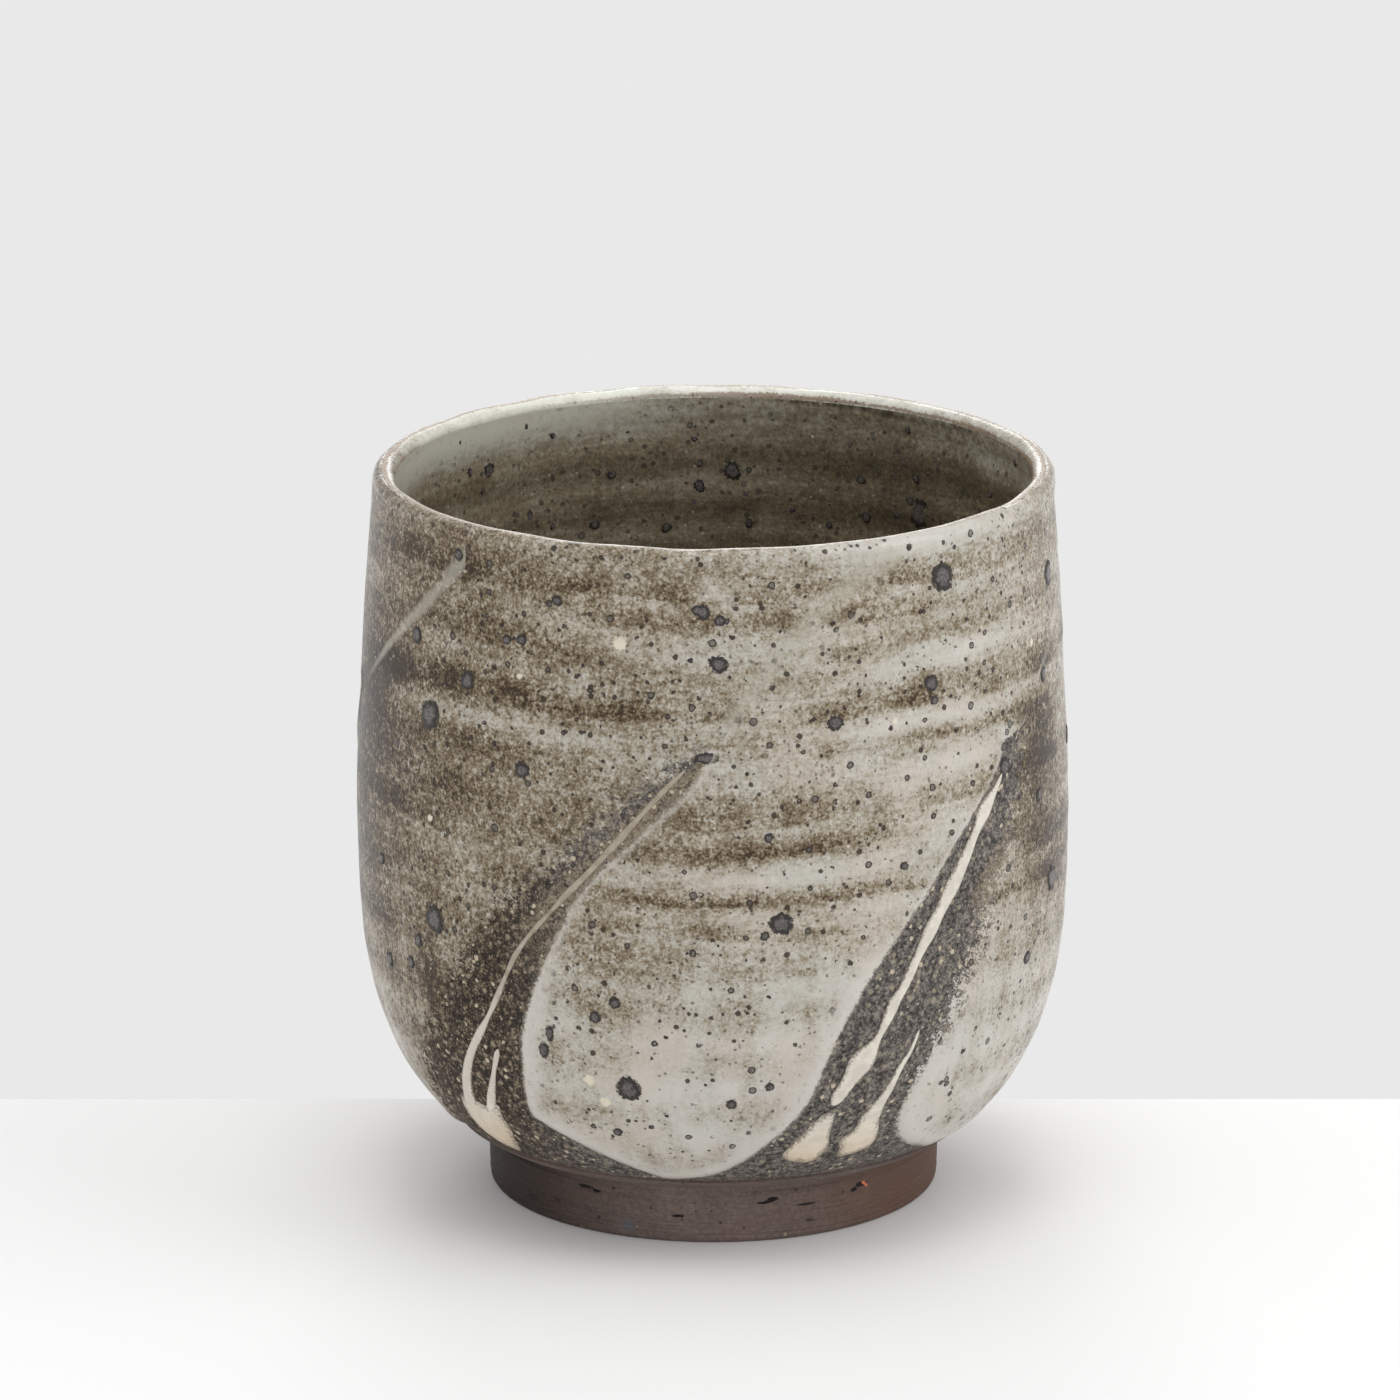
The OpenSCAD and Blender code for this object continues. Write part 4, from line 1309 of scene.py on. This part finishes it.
# The crest's coat is thicker, and so paler, where the painted highlight lies.
add_numbers(rim, "coat", outer_coat + (0.56 - outer_coat) * step(across, 0.3, 0.6) * (0.3 + 0.7 * pale))
crown = np.clip(np.sin(turn), 0, 1)
thumbed = -0.00008 * crown * (1 + waves(np.degrees(angle), 30 * turn / math.pi, 70, 31, 0.2)).clip(0)
flat = np.stack([points[:, 0] / r, points[:, 1] / r, 0 * r], -1)
rounder = flat * (thumbed * np.cos(turn))[:, None] + np.stack([0 * r, 0 * r, thumbed * crown], -1)
move_to(rim, points + rounder + sag(angle, points[:, 2]))
unroll(rim, 0, 360, 12, 0.96)
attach(rim, "root")
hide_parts("rim_glaze")


# Inside glaze: the same ash glaze, poured in and rolled round. It keeps the rings of the
# potter's fingers, is brown where they stand proud and pools grey-green at the bottom.
inside_finish = Finish("inside_glaze")
coat = inside_finish.attribute("coat")
colour, height, thickness_and_light, where = ash_glaze(inside_finish, coat, 0.9, 0.5, 0.5)
pool_green = inside_finish.attribute("pool")
colour = inside_finish.mix(pool_green * 0.6, colour, paint(150, 152, 130))
colour = inside_finish.mix(0.2, colour, paint(126, 126, 110))
curdled = inside_finish.noise(where, 0.9, 3.0, 0.6)
# A pale band under the lip: partly pale glaze, partly painted light on the lit wall.
pale_top = inside_finish.attribute("top") + (curdled - 0.5) * 1.8
colour = inside_finish.mix(pale_top.between(0.2, 1.2) * 0.55, colour, paint(222, 221, 206))
inside_bump = inside_finish.bump(height, 0.1, 0.5)
inside_glaze = inside_finish.ceramic(colour, 0.28 + (1 - thickness_and_light) * 0.08, inside_bump)
wall_inside_zs = np.linspace(lip_z, belly_z, 150)
bowl_rs = inner_belly_r * (1 - (1 - np.linspace(0, 1, 150)) ** 1.8)
inside_outline_points = [(float(inner_r(z)), float(z)) for z in wall_inside_zs]
inside_outline_points += [(float(r), float(bowl_height(r))) for r in bowl_rs[-2:0:-1]]
# The outline stops just short of the axis. Its hidden side lies in the clay, and on the wall that
# is bed_depth behind the surface.
axis_r = 0.00002
bed_depth = 0.0009
inside_outline_points += [(axis_r, float(bowl_z + glaze_t))]
bed = [(axis_r, bowl_z - 0.0006), (foot_in_r * 0.8, bowl_z - 0.0004)]
bed += [(float(r) + bed_depth, float(bowl_height(r)) - 0.0007) for r in (0.026, 0.033, 0.0375)]
bed += [(float(inner_r(z)) + bed_depth, z) for z in (belly_z, 0.062, 0.076, lip_z - 0.0002)]
# How far a pale band shows below the lip inside, partly the lip's pale glaze and partly painted light, most
# on the back-left wall that faces the lamp at the right: angle from the front, and how much
top_round = [
    (0, 0.5), (45, 0.4), (90, 0.35), (120, 0.5), (150, 0.35), (182, 0.45), (200, 0.9), (225, 1.2),
    (260, 1.2), (310, 0.7),
]
inside_steps = [math.dist(a, b) for a, b in zip(inside_outline_points, inside_outline_points[1:])]
inside_ups = np.concatenate([[0], np.cumsum(inside_steps)])
inside_ups /= inside_ups[-1]
for number, strip_start in enumerate((-90, 90)):
    bm = turned(
        inside_outline_points + bed, [1] * len(inside_outline_points) + [0] * len(bed), steps=300,
        start=math.radians(strip_start), sweep=math.pi,
    )
    half_bowl = made(bm, f"inside_glaze_{number + 1}", inside_glaze)
    points, shows = skin_of(half_bowl)
    angle = np.degrees(angle_of(points))
    r = np.hypot(points[:, 0], points[:, 1])
    z = points[:, 2] * 1000
    on_wall = points[:, 2] > belly_z
    down_the_wall = np.interp(-points[:, 2], [-p[1] for p in inside_outline_points], inside_ups)
    add_numbers(half_bowl, "up", np.where(shows, down_the_wall, 0))
    climb = z / 6.2 + angle / 360
    rings = np.sin(2 * math.pi * climb) * step(r, 0.008, 0.02)
    coat_share = 0.38 + 0.06 * waves(angle, z, 80, 5, 0.1) - 0.05 * rings + 0.3 * step(r, 0.03, 0.015)
    # Darker on the back-right of the wall inside: painted shade, on the wall turned away from the lamp at
    # the right.
    coat_share = coat_share - 0.1 * bell(turn_from(angle, 130) / 30) * on_wall
    top = step(z + 0.8 * waves(angle, 0 * z, 81, 5, 0), 80.5, 84.5)
    top = top * round_cup(top_round, angle)
    add_numbers(half_bowl, "top", top)
    # The band's painted light also makes the coat thicker and paler there.
    coat_share = coat_share + 0.4 * top
    worn_line = bell((z - 86.3 - 0.2 * waves(angle, 0 * z, 82, 12, 0)) / 0.3)
    coat_share = coat_share - 0.35 * worn_line * step(np.abs(turn_from(angle, 146)), 26, 18)
    add_numbers(half_bowl, "coat", coat_share)
    add_numbers(half_bowl, "pool", step(r, 0.028, 0.012))
    hollow = 0.00012 * (1 + np.sin(2 * math.pi * climb + 2.4)) * step(r, 0.004, 0.02)
    hollow = hollow * step(z, lip_z * 1000, lip_z * 1000 - 3)
    outward = np.stack([points[:, 0] / r, points[:, 1] / r, np.where(on_wall, 0, -0.6)], -1)
    skin = points + outward * (hollow * shows)[:, None]
    move_to(half_bowl, skin + sag(np.radians(angle), points[:, 2]))
    unroll(half_bowl, strip_start, 180, 1, 0.95)
    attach(half_bowl, "root")
    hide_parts("inside_glaze")


# Iron spots: grains of iron ore in the clay that melted in the fire and rose through the glaze
# as slate-grey blisters with a dark scalloped rim.
spot_finish = Finish("iron_spots")
where = spot_finish.millimetres()
to_rim = spot_finish.attribute("edge")
fine = spot_finish.noise(where, 0.18, 2.0)
cloud = spot_finish.noise(where, 0.6, 2.0)
colour = spot_finish.mix(fine.between(0.36, 0.64), paint(66, 60, 60), paint(112, 106, 103))
specks = spot_finish.grains(where, 0.5, 0.4, 0.6)
colour = spot_finish.mix(specks * 0.85, colour, paint(34, 29, 29))
rim_share = (to_rim + (cloud - 0.5) * 0.7 + (fine - 0.5) * 0.5).between(0.54, 0.74)
colour = spot_finish.mix(rim_share * 0.95, colour, paint(32, 26, 24))
iron_bump = spot_finish.bump(fine * 0.6 + cloud, 0.07, 0.7)
iron = spot_finish.ceramic(colour, 0.36 + rim_share * 0.12, iron_bump)

# Each iron spot in the bowl, with the same four values. Most lie on the back wall.
inside_spots = [
    (225.5, 80.2, 0.85, 1.2), (230.5, 80.7, 0.4, 1.4), (227, 78, 0.35, 1.3), (215.5, 73.3, 0.65, 1.2),
    (219, 73.9, 0.35, 1), (214, 72.5, 0.35, 1), (210.5, 71.5, 0.3, 1.3), (202, 71, 0.6, 1),
    (188.5, 70, 0.6, 1), (198.5, 73.4, 0.35, 1), (193, 79.1, 0.35, 1), (199, 77.2, 0.5, 1),
    (182.5, 75.2, 0.7, 1.2), (183.5, 73.3, 0.5, 1), (182.5, 78.1, 0.35, 1), (176.5, 77.2, 1.05, 1),
    (183.5, 81.3, 0.4, 0.8), (217, 85, 0.4, 1.4), (234, 85, 0.35, 1.4), (211, 83.2, 0.35, 1),
    (174, 74.2, 0.4, 1), (173.5, 70.5, 0.45, 1.3), (165.5, 72.5, 0.35, 1), (158.5, 70.9, 0.4, 1),
    (151, 72.5, 0.65, 1), (144.5, 73.6, 0.6, 1.1), (139.5, 74.1, 1.45, 1.2), (141.5, 75.4, 0.75, 0.7),
    (152, 77.2, 0.55, 1), (140, 78.5, 0.5, 1.1), (137, 79.5, 0.35, 0.8), (119.5, 79.2, 0.4, 1.2),
    (154, 81.5, 0.3, 1), (141.5, 84.5, 0.35, 1.4), (108, 85, 0.35, 1.5), (120, 55.8, 1.2, 1),
    (265, 60.4, 1.3, 1), (60, 63.5, 1.3, 1), (340, 51.9, 1.5, 1), (15, 67.4, 1.0, 1), (200, 54, 0.9, 1),
    (84, 70, 0.7, 1), (300, 72, 0.8, 1), (32, 77, 0.7, 1),
]


def on_bowl(angle, z, out):
    """A point on the inside wall at an angle, and so far out of its glaze."""
    r = inner_r(z) - out
    return np.stack([r * np.sin(angle), -r * np.cos(angle), z + unevenness(angle, z)], -1)


def add_spot(bm, spot, place_on, level, proud, pick):
    """One spot: a ball pressed flat on its wall, with a scalloped edge."""
    spot_a, spot_z, half, tall = spot
    round_mm = math.radians(1) * float(np.hypot(*place_on(0.0, spot_z / 1000, 0.0)[:2])) * 1000
    lobes = pick.integers(7, 12)
    turn_0, turn_1, turn_2 = pick.uniform(0, 2 * math.pi, 3)

    def place(flat, turn, side):
        scallop = 0.11 * np.sin(lobes * turn + turn_0) + 0.11 * np.sin(2 * turn + turn_1)
        scallop = scallop + 0.07 * np.sin((lobes + 5) * turn + turn_2) + 0.08 * np.sin(3 * turn - turn_2)
        far = half * flat * (1 + scallop * flat)
        lift = np.where(side > 0, proud, -sunk_mm) * (1 - flat**3)
        a = np.radians(spot_a + far * np.cos(turn) / round_mm)
        return place_on(a, (spot_z + far * tall * np.sin(turn)) / 1000, (level + lift) / 1000)

    add_ball(bm, place)


def spots_piece(name, spots_there, place, level_at, node, proud):
    bm = bmesh.new()
    bm.verts.layers.float.new("edge")
    pick = np.random.default_rng(11)
    for spot in spots_there:
        add_spot(bm, spot, place, level_at(spot), proud, pick)
    bmesh.ops.recalc_face_normals(bm, faces=bm.faces)
    piece = made(bm, name, iron)
    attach(piece, "root")
    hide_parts(node)


def outside_level(spot):
    """How far the wall lies out there, and a little over."""
    return float(wall_level(np.array([float(spot[0])]), np.array([float(spot[1])]))[0]) + lifted_mm


def inside_level(spot):
    """The same inside, a little under the bowl's true surface."""
    return -0.08


spots_piece("outside_spots", front_spots + back_spots, on_cup, outside_level, "iron_spots_outside", 0.1)
spots_piece("inside_spots", inside_spots, on_bowl, inside_level, "iron_spots_inside", 0.1)
